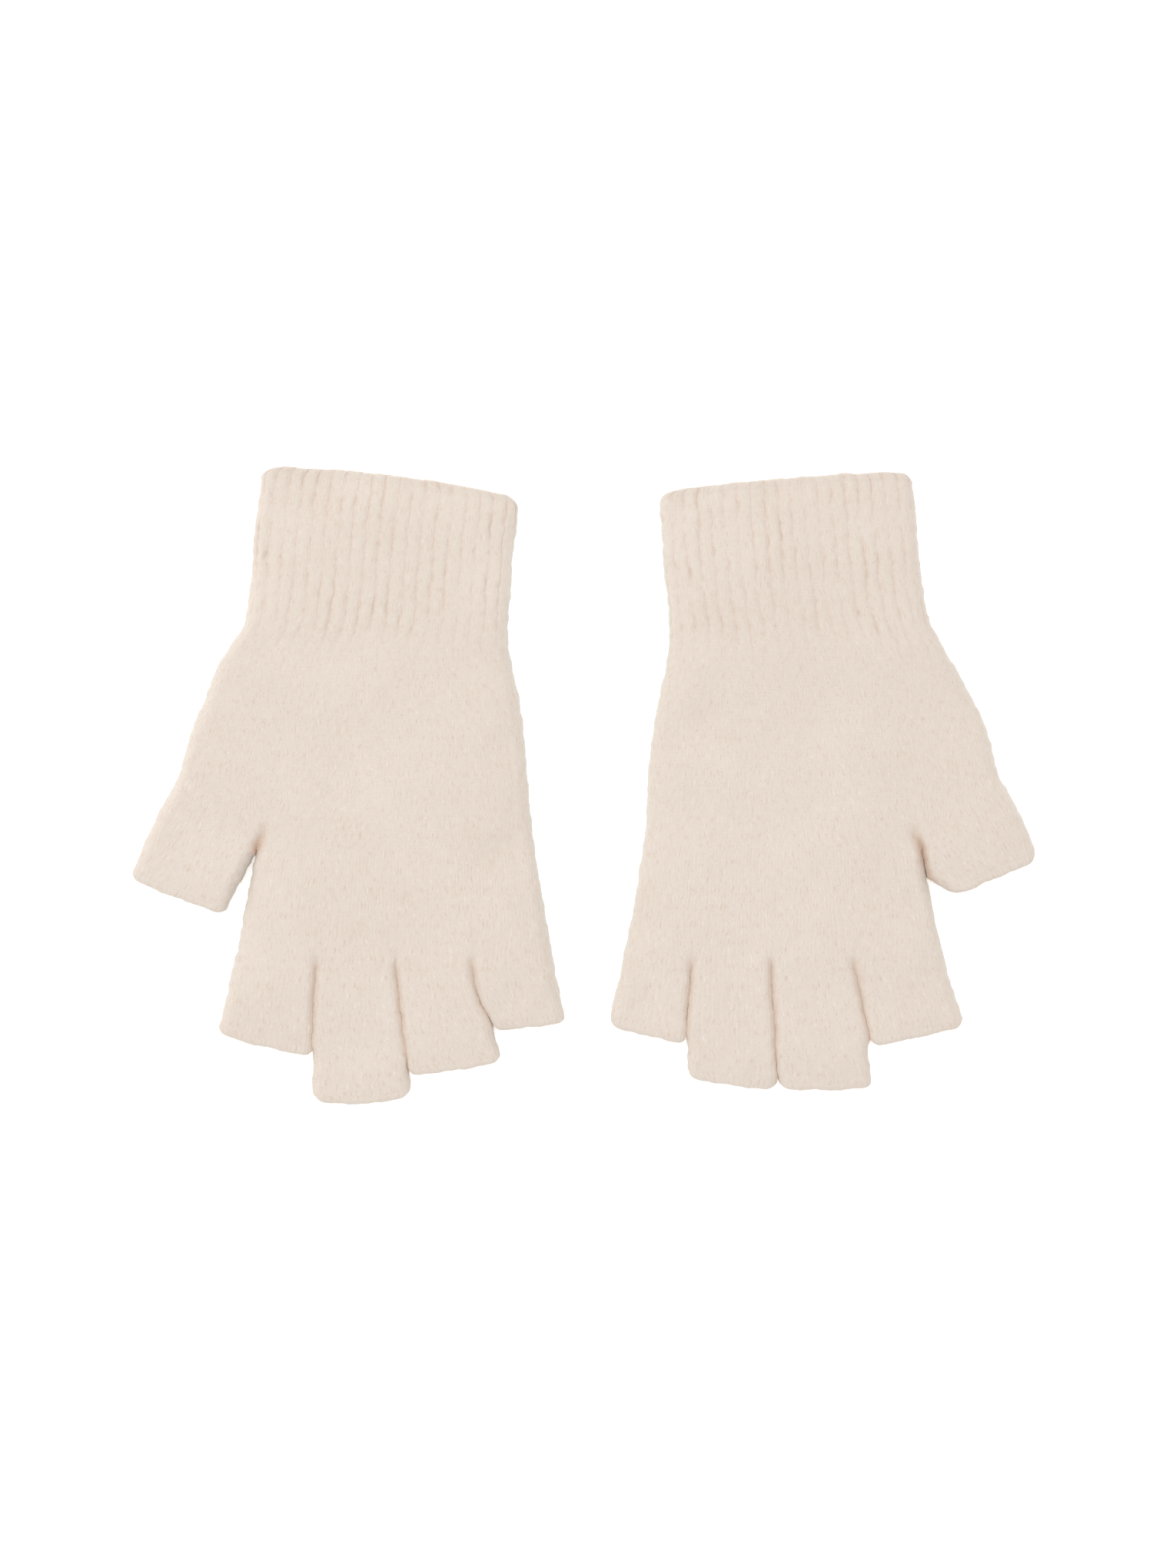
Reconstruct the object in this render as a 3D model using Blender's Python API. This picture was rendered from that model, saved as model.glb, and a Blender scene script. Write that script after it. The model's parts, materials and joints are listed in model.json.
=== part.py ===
"""A pair of fingerless knitted gloves lying flat, palms up, side by side.

Each glove is built from the sections that a glove knitter works in: a ribbed cuff, a lower palm that
carries the thumb, an upper palm that carries four fingers, five short finger tubes, and a finished
welt round every opening. Two elastic yarns run round the inside of each cuff. A section is a flattened
sleeve with a flat underside, so the pair rests on the plane z = 0, with the fingers towards -Y.

Each glove is drawn in its own flat frame first: the middle of its knuckle line at the origin, x towards
the little finger, y towards the cuff. The left glove is then set beside the mirrored right one.
"""
import math

import bmesh
import bpy
from mathutils import Vector

MM = 0.001

# The knitted cloth
FLAT_THICKNESS = 10.5 * MM      # a section pressed flat, outside to outside
KNIT_WALL = 1.9 * MM
WELT_WALL = 2.2 * MM
WELT_LENGTH = 2.4 * MM
SEAM_GAP = 0.4 * MM             # between two sections that meet
FINGER_GAP = 0.6 * MM           # between two fingers that lie side by side
ARC_STEPS = 6                   # facets round each folded edge

# The hand, measured from the knuckle line
CROTCH_HEIGHT = 33.0 * MM       # where the thumb parts from the palm
CROTCH_REACH = 38.5 * MM        # from the glove's middle to the thumb's crotch
PALM_EDGE_REACH = 39.7 * MM     # from the middle to the little-finger edge at the same height
THUMB_ROOT_WIDTH = 31.5 * MM
THUMB_ROOT_SLOPE = math.radians(47)
WRIST_HEIGHT = 90.0 * MM
WRIST_THUMB_REACH = 45.5 * MM
WRIST_PALM_REACH = 32.2 * MM
BALL_BULGE = 2.2 * MM           # how far the ball of the thumb swells past a straight edge

# The ribbed cuff
CUFF_LENGTH = 46.0 * MM         # along the middle, welt included
NECK_LENGTH = 13.0 * MM         # from the wrist line to the cuff's narrow part
NECK_THUMB_REACH = 40.3 * MM
NECK_PALM_REACH = 32.6 * MM
MOUTH_THUMB_REACH = 36.6 * MM
MOUTH_PALM_REACH = 35.0 * MM
ELASTIC_WIDTH = 1.2 * MM
ELASTIC_THICK = 0.6 * MM
ELASTIC_GAP = 0.3 * MM
ELASTIC_HEIGHTS = {"lower": 17.0 * MM, "upper": 34.0 * MM}

# Fingers, from the thumb side: width at the knuckle line, width at the opening, length along the
# middle with the welt, lean towards the thumb and slope of the opening
FINGERS = {
    "left": {
        "index": (23.4 * MM, 26.6 * MM, 22.0 * MM, math.radians(8), math.radians(-15)),
        "middle": (22.4 * MM, 27.2 * MM, 37.5 * MM, math.radians(-2), math.radians(2)),
        "ring": (21.6 * MM, 23.4 * MM, 29.3 * MM, math.radians(-10), math.radians(11)),
        "little": (23.0 * MM, 20.6 * MM, 17.6 * MM, math.radians(-15), math.radians(8)),
    },
    "right": {
        "index": (26.0 * MM, 25.6 * MM, 20.0 * MM, math.radians(16), math.radians(-13)),
        "middle": (23.4 * MM, 26.2 * MM, 34.2 * MM, math.radians(7), math.radians(-1)),
        "ring": (22.4 * MM, 25.0 * MM, 32.6 * MM, math.radians(0), math.radians(8)),
        "little": (19.6 * MM, 20.6 * MM, 19.0 * MM, math.radians(-7), math.radians(14)),
    },
}
THUMBS = {
    "left": (28.4 * MM, 27.0 * MM, math.radians(25.7), math.radians(-21)),
    "right": (27.0 * MM, 21.4 * MM, math.radians(27.0), math.radians(-23)),
}
CUFF_MOUTH_SLOPES = {"left": math.radians(-7), "right": math.radians(-4.5)}
KNUCKLE_SPACING = 109.6 * MM    # between the two gloves' middles

CREAM = (0.80, 0.70, 0.60, 1.0)
WELT_CREAM = (0.84, 0.75, 0.66, 1.0)
ELASTIC_WHITE = (0.86, 0.84, 0.80, 1.0)


def clear_scene():
    for obj in list(bpy.data.objects):
        bpy.data.objects.remove(obj, do_unlink=True)


def cloth_material(name, color, roughness):
    material = bpy.data.materials.new(name)
    material.use_nodes = True
    shader = material.node_tree.nodes["Principled BSDF"]
    shader.inputs["Base Color"].default_value = color
    shader.inputs["Roughness"].default_value = roughness
    shader.inputs["Metallic"].default_value = 0.0
    material.diffuse_color = color
    return material


def along(start, end, share):
    """The point at a share of the way from start to end."""
    return start + (end - start) * share


def span(middle, width, slope):
    """A straight line across a section, from its thumb side to its little-finger side."""
    half = Vector((math.cos(slope), math.sin(slope))) * (width / 2)
    return [middle - half, middle + half]


def between(first, second, share):
    """The line across a section at a share of the way from one line to another."""
    return [along(a, b, share) for a, b in zip(first, second)]


def offset_line(line, distance):
    """The line moved towards the fingers, at right angles to itself."""
    run = (line[-1] - line[0]).normalized()
    step = Vector((run.y, -run.x)) * distance
    return [point + step for point in line]


def ring_points(line, inset):
    """The closed loop of a flattened sleeve over a line: flat below and above, round at both folds."""
    radius = FLAT_THICKNESS / 2
    first_run = (line[1] - line[0]).normalized()
    last_run = (line[-2] - line[-1]).normalized()
    flat = [line[0] + first_run * radius] + line[1:-1] + [line[-1] + last_run * radius]
    points = [Vector((p.x, p.y, inset)) for p in flat]
    points += fold_arc(flat[-1], last_run, radius, inset, 1)
    points += [Vector((p.x, p.y, FLAT_THICKNESS - inset)) for p in reversed(flat)]
    points += fold_arc(flat[0], first_run, radius, inset, -1)
    return points


def fold_arc(center, run, radius, inset, way):
    """The inner points of the half circle round one folded edge; way is 1 upwards and -1 downwards."""
    arc = []
    for step in range(1, ARC_STEPS):
        angle = way * (math.pi * step / ARC_STEPS - math.pi / 2)
        out = (radius - inset) * math.cos(angle)
        height = radius + (radius - inset) * math.sin(angle)
        arc.append(Vector((center.x - run.x * out, center.y - run.y * out, height)))
    return arc


class Sleeve:
    """One knitted section: lines across it from one end to the other, and where it hinges."""

    def __init__(self, name, lines, hinge, wall=KNIT_WALL, inset=0.0, kind="knit"):
        self.name = name
        self.lines = lines
        self.hinge = hinge
        self.wall = wall
        self.inset = inset
        self.kind = kind


def finger_lines(root, width, length, lean, slope):
    """The lines at a finger's knuckle and at its opening."""
    middle = along(root[0], root[-1], 0.5)
    tip = middle + Vector((-math.sin(lean), -math.cos(lean))) * length
    return root, span(tip, width, slope)


def split_welt(name, root, tip, hinge):
    """A finger tube and the welt round its opening, which share the finger's length."""
    side = min((b - a).length for a, b in zip(root, tip))
    tube_end = between(root, tip, 1 - (WELT_LENGTH + SEAM_GAP) / side)
    welt_start = between(root, tip, 1 - WELT_LENGTH / side)
    middle = between(root, tube_end, 0.5)
    tube = Sleeve(name, [root, middle, tube_end], hinge)
    welt = Sleeve(name + "_welt", [welt_start, tip], hinge, wall=WELT_WALL, kind="welt")
    return [tube, welt]


def hand_sections(side):
    """The two palm sections, with the lines where the cuff, the thumb and the fingers join them."""
    widths = [size[0] for size in FINGERS[side].values()]
    knuckle_half = sum(widths) / 2
    half_gap = SEAM_GAP / 2
    crotch = Vector((-CROTCH_REACH, CROTCH_HEIGHT))
    palm_edge = Vector((PALM_EDGE_REACH, CROTCH_HEIGHT))
    thumb_way = Vector((-math.cos(THUMB_ROOT_SLOPE), math.sin(THUMB_ROOT_SLOPE)))
    thumb_out = crotch + thumb_way * THUMB_ROOT_WIDTH
    palm_middle = along(crotch, palm_edge, 0.5)

    wrist = [Vector((-WRIST_THUMB_REACH, WRIST_HEIGHT)), Vector((WRIST_PALM_REACH, WRIST_HEIGHT))]
    bent = [thumb_out, along(thumb_out, crotch, 0.5), crotch, palm_middle, palm_edge]
    reach = [(point.x - bent[0].x) / (bent[-1].x - bent[0].x) for point in bent]
    straight = [along(wrist[0], wrist[1], share) for share in reach]
    hollow = Vector((-BALL_BULGE, 0))
    lower = []
    for share in (0.0, 0.3, 0.65, 1.0):
        line = between(straight, bent, share)
        line[0] = line[0] + hollow * (4 * share * (1 - share))
        lower.append(line)
    lift = Vector((0, half_gap))
    lower[0] = [point - lift for point in lower[0]]
    lower[-1] = [point + lift for point in lower[-1]]

    knuckles = [Vector((-knuckle_half, 0)), Vector((knuckle_half, 0))]
    top = [crotch - lift, palm_edge - lift]
    bottom = [point + lift for point in knuckles]
    upper = [between(top, bottom, share) for share in (0.0, 0.5, 1.0)]
    sections = [
        Sleeve(f"{side}_lower_palm", lower, None),
        Sleeve(f"{side}_upper_palm", upper, None),
    ]
    return sections, wrist, [thumb_out, crotch], knuckles


def finger_sections(side, knuckles):
    """Four finger tubes and their welts, side by side along the knuckle line."""
    pieces = []
    edge = knuckles[0].x
    height = -SEAM_GAP / 2
    for name, (root_width, tip_width, length, lean, slope) in FINGERS[side].items():
        inner = FINGER_GAP / 2
        root = [Vector((edge + inner, height)), Vector((edge + root_width - inner, height))]
        hinge = Vector((edge + root_width / 2, 0, FLAT_THICKNESS))
        root, tip = finger_lines(root, tip_width, length, lean, slope)
        pieces += split_welt(f"{side}_{name}_finger", root, tip, hinge)
        edge += root_width
    return pieces


def thumb_sections(side, root_line):
    """The thumb tube and its welt, on the sloping mouth that the lower palm leaves for it."""
    width, length, lean, slope = THUMBS[side]
    hinge = along(root_line[0], root_line[1], 0.5).to_3d()
    hinge.z = FLAT_THICKNESS
    run = (root_line[1] - root_line[0]).normalized()
    shortened = [root_line[0] + run * FINGER_GAP, root_line[1] - run * FINGER_GAP]
    root, tip = finger_lines(offset_line(shortened, SEAM_GAP / 2), width, length, lean, slope)
    return split_welt(f"{side}_thumb", root, tip, hinge)


def cuff_sections(side, wrist):
    """The ribbed cuff, the welt round its mouth and the elastic yarns inside it."""
    hinge = along(wrist[0], wrist[1], 0.5).to_3d()
    hinge.z = FLAT_THICKNESS
    lift = Vector((0, SEAM_GAP / 2))
    start = [point + lift for point in wrist]
    neck_height = WRIST_HEIGHT + NECK_LENGTH
    neck = [Vector((-NECK_THUMB_REACH, neck_height)), Vector((NECK_PALM_REACH, neck_height))]
    mouth_width = MOUTH_THUMB_REACH + MOUTH_PALM_REACH
    mouth_middle = Vector(((MOUTH_PALM_REACH - MOUTH_THUMB_REACH) / 2, WRIST_HEIGHT + CUFF_LENGTH))
    mouth = span(mouth_middle, mouth_width, CUFF_MOUTH_SLOPES[side])

    straight_length = min((b - a).length for a, b in zip(neck, mouth))
    cuff_end = between(neck, mouth, 1 - (WELT_LENGTH + SEAM_GAP) / straight_length)
    welt_start = between(neck, mouth, 1 - WELT_LENGTH / straight_length)
    lines = [start, between(start, neck, 0.5), neck, between(neck, cuff_end, 0.5), cuff_end]
    lines[1][0] = lines[1][0] + Vector((BALL_BULGE / 2, 0))
    pieces = [
        Sleeve(f"{side}_cuff", lines, hinge),
        Sleeve(f"{side}_cuff_welt", [welt_start, mouth], hinge, wall=WELT_WALL, kind="welt"),
    ]
    for name, height in ELASTIC_HEIGHTS.items():
        share = (height - NECK_LENGTH) / (CUFF_LENGTH - NECK_LENGTH)
        step = ELASTIC_WIDTH / 2 / straight_length
        pieces.append(Sleeve(
            f"{side}_cuff_elastic_{name}",
            [between(neck, mouth, share - step), between(neck, mouth, share + step)],
            hinge,
            wall=ELASTIC_THICK,
            inset=KNIT_WALL + ELASTIC_GAP,
            kind="elastic",
        ))
    return pieces


def glove_sections(side):
    palms, wrist, thumb_root, knuckles = hand_sections(side)
    pieces = cuff_sections(side, wrist) + palms
    return pieces + thumb_sections(side, thumb_root) + finger_sections(side, knuckles)


def skin(bm, first, second):
    """Faces between two loops with the same number of points."""
    count = len(first)
    for i in range(count):
        j = (i + 1) % count
        bm.faces.new((first[i], first[j], second[j], second[i]))


def make_sleeve(piece, place, materials):
    """One closed solid: an outer skin, an inner skin and a rim at each open end."""
    origin = place(piece.hinge) if piece.hinge else place(Vector((0, 0, 0)))
    bm = bmesh.new()
    skins = []
    for inset in (piece.inset, piece.inset + piece.wall):
        loops = []
        for line in piece.lines:
            loops.append([bm.verts.new(place(p) - origin) for p in ring_points(line, inset)])
        for first, second in zip(loops[:-1], loops[1:]):
            skin(bm, first, second)
        skins.append(loops)
    skin(bm, skins[0][0], skins[1][0])
    skin(bm, skins[0][-1], skins[1][-1])
    bmesh.ops.recalc_face_normals(bm, faces=bm.faces)
    mesh = bpy.data.meshes.new(piece.name)
    bm.to_mesh(mesh)
    bm.free()
    mesh.shade_smooth()
    mesh.set_sharp_from_angle(angle=math.radians(50))
    mesh.materials.append(materials[piece.kind])
    obj = bpy.data.objects.new(piece.name, mesh)
    obj.location = origin
    bpy.context.collection.objects.link(obj)
    return obj


def placer(side, shift):
    """The move from a glove's flat frame to its place in the pair; the right glove is mirrored."""
    turn = -1 if side == "right" else 1
    middle = turn * -KNUCKLE_SPACING / 2

    def place(point):
        return Vector((turn * point.x + middle, point.y, point.z)) + shift

    return place


def pair_shift(gloves):
    """The move that brings the middle of the pair's footprint to the origin."""
    spots = []
    for side, pieces in gloves.items():
        place = placer(side, Vector((0, 0, 0)))
        for piece in pieces:
            for line in piece.lines:
                spots += [place(p) for p in ring_points(line, piece.inset)]
    middle_x = (min(p.x for p in spots) + max(p.x for p in spots)) / 2
    middle_y = (min(p.y for p in spots) + max(p.y for p in spots)) / 2
    return Vector((-middle_x, -middle_y, 0))


def main():
    clear_scene()
    materials = {
        "knit": cloth_material("cream_knit", CREAM, 0.95),
        "welt": cloth_material("cream_welt", WELT_CREAM, 0.95),
        "elastic": cloth_material("elastic_yarn", ELASTIC_WHITE, 0.6),
    }
    gloves = {side: glove_sections(side) for side in ("left", "right")}
    shift = pair_shift(gloves)
    for side, pieces in gloves.items():
        for piece in pieces:
            make_sleeve(piece, placer(side, shift), materials)


main()
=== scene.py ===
# %% [markdown]
# # A pair of fingerless knitted gloves, lying flat
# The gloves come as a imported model: plain sleeves of the right size that MuJoCo can move. This lesson
# dresses them. Each plain sleeve is replaced by real knitting: a skin with wales and ribs, a rolled
# edge, a nap of loose fibres, and a hollow inside.

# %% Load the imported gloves
import json
import math

import bpy
import numpy as np
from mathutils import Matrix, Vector

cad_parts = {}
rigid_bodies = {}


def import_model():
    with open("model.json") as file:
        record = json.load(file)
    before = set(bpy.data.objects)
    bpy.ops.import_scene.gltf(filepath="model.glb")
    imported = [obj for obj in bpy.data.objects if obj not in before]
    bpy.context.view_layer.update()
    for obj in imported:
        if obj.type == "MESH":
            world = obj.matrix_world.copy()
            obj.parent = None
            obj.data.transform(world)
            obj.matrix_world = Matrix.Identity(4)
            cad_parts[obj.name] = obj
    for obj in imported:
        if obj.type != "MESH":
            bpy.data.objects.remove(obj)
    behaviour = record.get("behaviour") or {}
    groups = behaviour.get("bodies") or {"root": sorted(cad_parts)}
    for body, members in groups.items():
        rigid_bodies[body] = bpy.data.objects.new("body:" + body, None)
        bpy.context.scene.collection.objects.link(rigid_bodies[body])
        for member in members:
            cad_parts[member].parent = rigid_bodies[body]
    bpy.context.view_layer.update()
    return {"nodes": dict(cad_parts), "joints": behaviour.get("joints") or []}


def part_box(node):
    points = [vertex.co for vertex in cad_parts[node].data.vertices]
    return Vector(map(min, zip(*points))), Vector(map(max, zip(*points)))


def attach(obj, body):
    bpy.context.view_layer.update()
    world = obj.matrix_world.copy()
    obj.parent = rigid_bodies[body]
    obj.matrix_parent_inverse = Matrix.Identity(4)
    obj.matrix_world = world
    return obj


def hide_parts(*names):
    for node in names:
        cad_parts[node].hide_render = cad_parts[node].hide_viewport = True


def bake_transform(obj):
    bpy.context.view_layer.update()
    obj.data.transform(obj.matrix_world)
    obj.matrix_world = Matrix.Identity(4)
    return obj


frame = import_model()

# %% [markdown]
# ## Sizes of the cloth
# A knitted cloth has columns of stitches, called wales, and rows, called courses. Everything that
# repeats is sized from those two. The height and the roundness of a glove pressed flat are the other
# sizes that shape it.

# %% Cloth sizes
MM = 0.001
WALE_PITCH = 1.3 * MM
COURSE_PITCH = 1.05 * MM
COLUMNS_PER_WALE = 4            # mesh columns across one wale
ROW_STEP = 1.15 * MM            # mesh rows along a section
INNER_ROW_SKIP = 6              # the inner skin needs fewer rows
WALL = 1.9 * MM                 # thickness of the knit
FLAT_HALF = 4.6 * MM            # half the height of a section lying flat
MOUTH_HALF = 4.1 * MM           # the same at a finger opening
FLOOR_LIFT = 0.22 * MM
FOLD_REACH = 3.6 * MM           # how far a fold's rounding reaches in from the edge
INNER_REACH = 2.4 * MM
PINCH = 0.12 * MM               # half the gap left between the two layers at a fold
INNER_PINCH = 0.04 * MM
RIBS_PER_FACE = 20.5
WELT_ROWS = 2                   # rows at an opening that the welt takes up
FINGERS = ("index", "middle", "ring", "little")
TURNS = {"left": 1, "right": -1}   # the right glove is drawn mirrored, its thumb towards -x
THUMB_CONTACT = {"left": 2.0 * MM, "right": 10.0 * MM}   # how far the thumb lies against the palm

# %% [markdown]
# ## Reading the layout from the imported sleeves
# The fold line of a packed sleeve runs round it at half its height. Its outermost points, seen from
# above, are the outline that the knitting has to follow. Each glove is read with its thumb towards -x,
# so one set of functions makes both.

# %% Outline points
ON_FOLD = 0.05 * MM              # a point this near to half height lies on the fold line
BESIDE = 0.5 * MM                # an outer point has none further out than this near it
SAME_SPOT = 0.1 * MM


def mesh_points(mesh):
    spots = np.empty(len(mesh.vertices) * 3, np.float32)
    mesh.vertices.foreach_get("co", spots)
    return spots.reshape(-1, 3).astype(float)


def fold_points(node, turn):
    """The points on a node's fold line, in plan."""
    spots = mesh_points(frame["nodes"][node].data)
    low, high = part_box(node)
    middle = (low[2] + high[2]) / 2
    return spots[abs(spots[:, 2] - middle) < ON_FOLD][:, :2] * (turn, 1)


def corners(node, turn, away):
    """A sleeve's four plan corners: start and end on the thumb side, then on the little-finger side."""
    points = fold_points(node, turn)
    across = np.array((-away[1], away[0])) * (1 if away[1] < 0 else -1)
    s, t = points @ across, points @ np.array(away)
    return [points[np.argmax(score)] for score in (-s - t, -s + t, s - t, s + t)]


def side_points(node, turn, way):
    """The outer fold points on one side of a sleeve, from the cuff down; way is -1 on the thumb side."""
    points = fold_points(node, turn)
    points = points[(points[:, 0] - points[:, 0].mean()) * way > 0]
    outer = []
    for point in sorted(points.tolist(), key=lambda p: -p[1]):
        reach = np.linalg.norm(points - point, axis=1)
        beyond = (points[:, 0] - point[0]) * way > BESIDE
        doubled = any(np.hypot(point[0] - q[0], point[1] - q[1]) < SAME_SPOT for q in outer)
        if not np.any(beyond & (reach < 1.4 * WALL)) and not doubled:
            outer.append(np.array(point))
    return outer


joint_spots = {j["name"]: np.array(j["pos_m"]) for j in frame["joints"] if "pos_m" in j}
print("outer points on the left cuff:", len(side_points("left_cuff", 1, -1)))

# %% [markdown]
# ## Smooth edges
# A knitted edge has no corners in it, so the outline points are joined with a smooth curve. A Hermite
# curve passes through its points, which keeps the cloth the size that was packed. Real cloth also
# swells a little beyond such a sleeve in some places, so an edge takes a list of swells.

# %% Edge curves
STOP_CLEAR = 4 * MM              # outline points closer than this to a stop would kink the curve


class Edge:
    """A smooth curve that is called with a stop number: between two stops it goes by length.

    A swell is the stop at its middle, how many stops it reaches each way, and its size in mm; way is -1
    on the thumb side and 1 on the little-finger side.
    """

    def __init__(self, *runs, swells=(), way=1):
        self.swells, self.way = swells, way
        points, self.stops = [], []
        for run in runs:
            self.stops.append(len(points))
            points.append(np.array(run[0], float))
            points += [np.array(p, float) for p in run[1:]]
        self.points = np.array(points)
        self.gaps = np.linalg.norm(np.diff(self.points, axis=0), axis=1)
        self.along = np.concatenate([[0], np.cumsum(self.gaps)])
        self.slopes = np.gradient(self.points, self.along, axis=0)

    def __call__(self, stop):
        whole = int(min(math.floor(stop), len(self.stops) - 2))
        start, end = (self.along[self.stops[k]] for k in (whole, whole + 1))
        target = start + (end - start) * (stop - whole)
        first = int(min(max(np.searchsorted(self.along, target) - 1, 0), len(self.gaps) - 1))
        gap = self.gaps[first]
        f = (target - self.along[first]) / gap
        lean_start, lean_end = self.slopes[first] * gap, self.slopes[first + 1] * gap
        place = (
            (2 * f**3 - 3 * f**2 + 1) * self.points[first] + (f**3 - 2 * f**2 + f) * lean_start
            + (3 * f**2 - 2 * f**3) * self.points[first + 1] + (f**3 - f**2) * lean_end
        )
        for middle, reach, size in self.swells:
            near = max(0, 1 - ((stop - middle) / reach) ** 2)
            place[0] += self.way * size * MM * near**2
        return place


def between_stops(points, start, end):
    """A run for an edge: its stop, then the points that lie well clear of both stops."""
    clear = [p for p in points if min(np.linalg.norm(p - start), np.linalg.norm(p - end)) > STOP_CLEAR]
    return [start] + clear


def smooth(value):
    """An even step from 0 to 1."""
    value = np.clip(value, 0, 1)
    return value * value * (3 - 2 * value)


def round_off(distance, reach):
    """How high a fold stands at a distance from its edge, from 0 to 1, along a quarter of an ellipse."""
    share = np.clip(distance / reach, 0, 1)
    return np.sqrt(1 - (1 - share) ** 2)


QUARTER = math.pi / 2 * math.sqrt((FOLD_REACH**2 + FLAT_HALF**2) / 2)      # knit round half a fold


def face_length(width):
    """The length of knit across one face, from fold to fold."""
    return width - 2 * FOLD_REACH + 2 * QUARTER


def face_shares(width, columns):
    """Where evenly knitted columns lie across one face, as shares of its flat width."""
    length = face_length(width)
    run = np.linspace(0, length, columns + 1)
    near = np.minimum(run, length - run)
    turn = np.clip(near / QUARTER, 0, 1) * math.pi / 2
    inset = np.where(near < QUARTER, FOLD_REACH * (1 - np.cos(turn)), near - QUARTER + FOLD_REACH)
    return np.where(run <= length / 2, inset, width - inset) / width


print("a 25 mm finger has", round(face_length(25 * MM) / MM, 1), "mm of knit across each face")

# %% [markdown]
# ## One glove's layout
# The outline of a glove is three kinds of edge: the thumb side, the little-finger side and the web
# between the thumb and the index finger. The crotches are the points where the tubes part. The soft
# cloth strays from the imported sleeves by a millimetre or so, and the two small tables say where.

# %% Where the cloth strays from the sleeves
SWELLS = {
    "left_thumb": ((0.4, 0.75, 1.0), (1.1, 0.2, 1.0), (1.55, 0.35, -0.8), (2.45, 0.45, 1.1)),
    "left_little": ((0.0, 0.4, 0.4), (1.38, 0.45, 1.2)),
    "right_thumb": ((0.4, 0.7, -0.7), (1.3, 0.5, -1.1), (2.48, 0.47, 1.2)),
    "right_little": ((0.4, 0.5, 0.4), (1.45, 0.5, 1.5), (2.5, 0.45, -0.5), (3.8, 0.7, 1.0)),
}
# How far an opening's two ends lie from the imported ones, thumb side first: (x, y), (x, y) in mm.
END_SHIFTS = {
    "left_index": ((0, 0), (0, 0.5)),
    "left_middle": ((0, 0), (0.6, 0)),
    "left_ring": ((0, 1.2), (2.4, 0.4)),
    "left_little": ((1.5, 1.2), (0, 0.8)),
    "right_index": ((0, 0.5), (0, 0.4)),
    "right_middle": ((0.3, 0.4), (0, 0.4)),
    "right_ring": ((0, 0.4), (0, 0.4)),
    "right_little": ((0, 0.4), (0, 0.4)),
}
print("swells along the four long edges:", sum(len(swells) for swells in SWELLS.values()))


# %% Layout
SLEEVE_GAP = 0.2 * MM            # from a packed sleeve's end to the line where two sections meet


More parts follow.
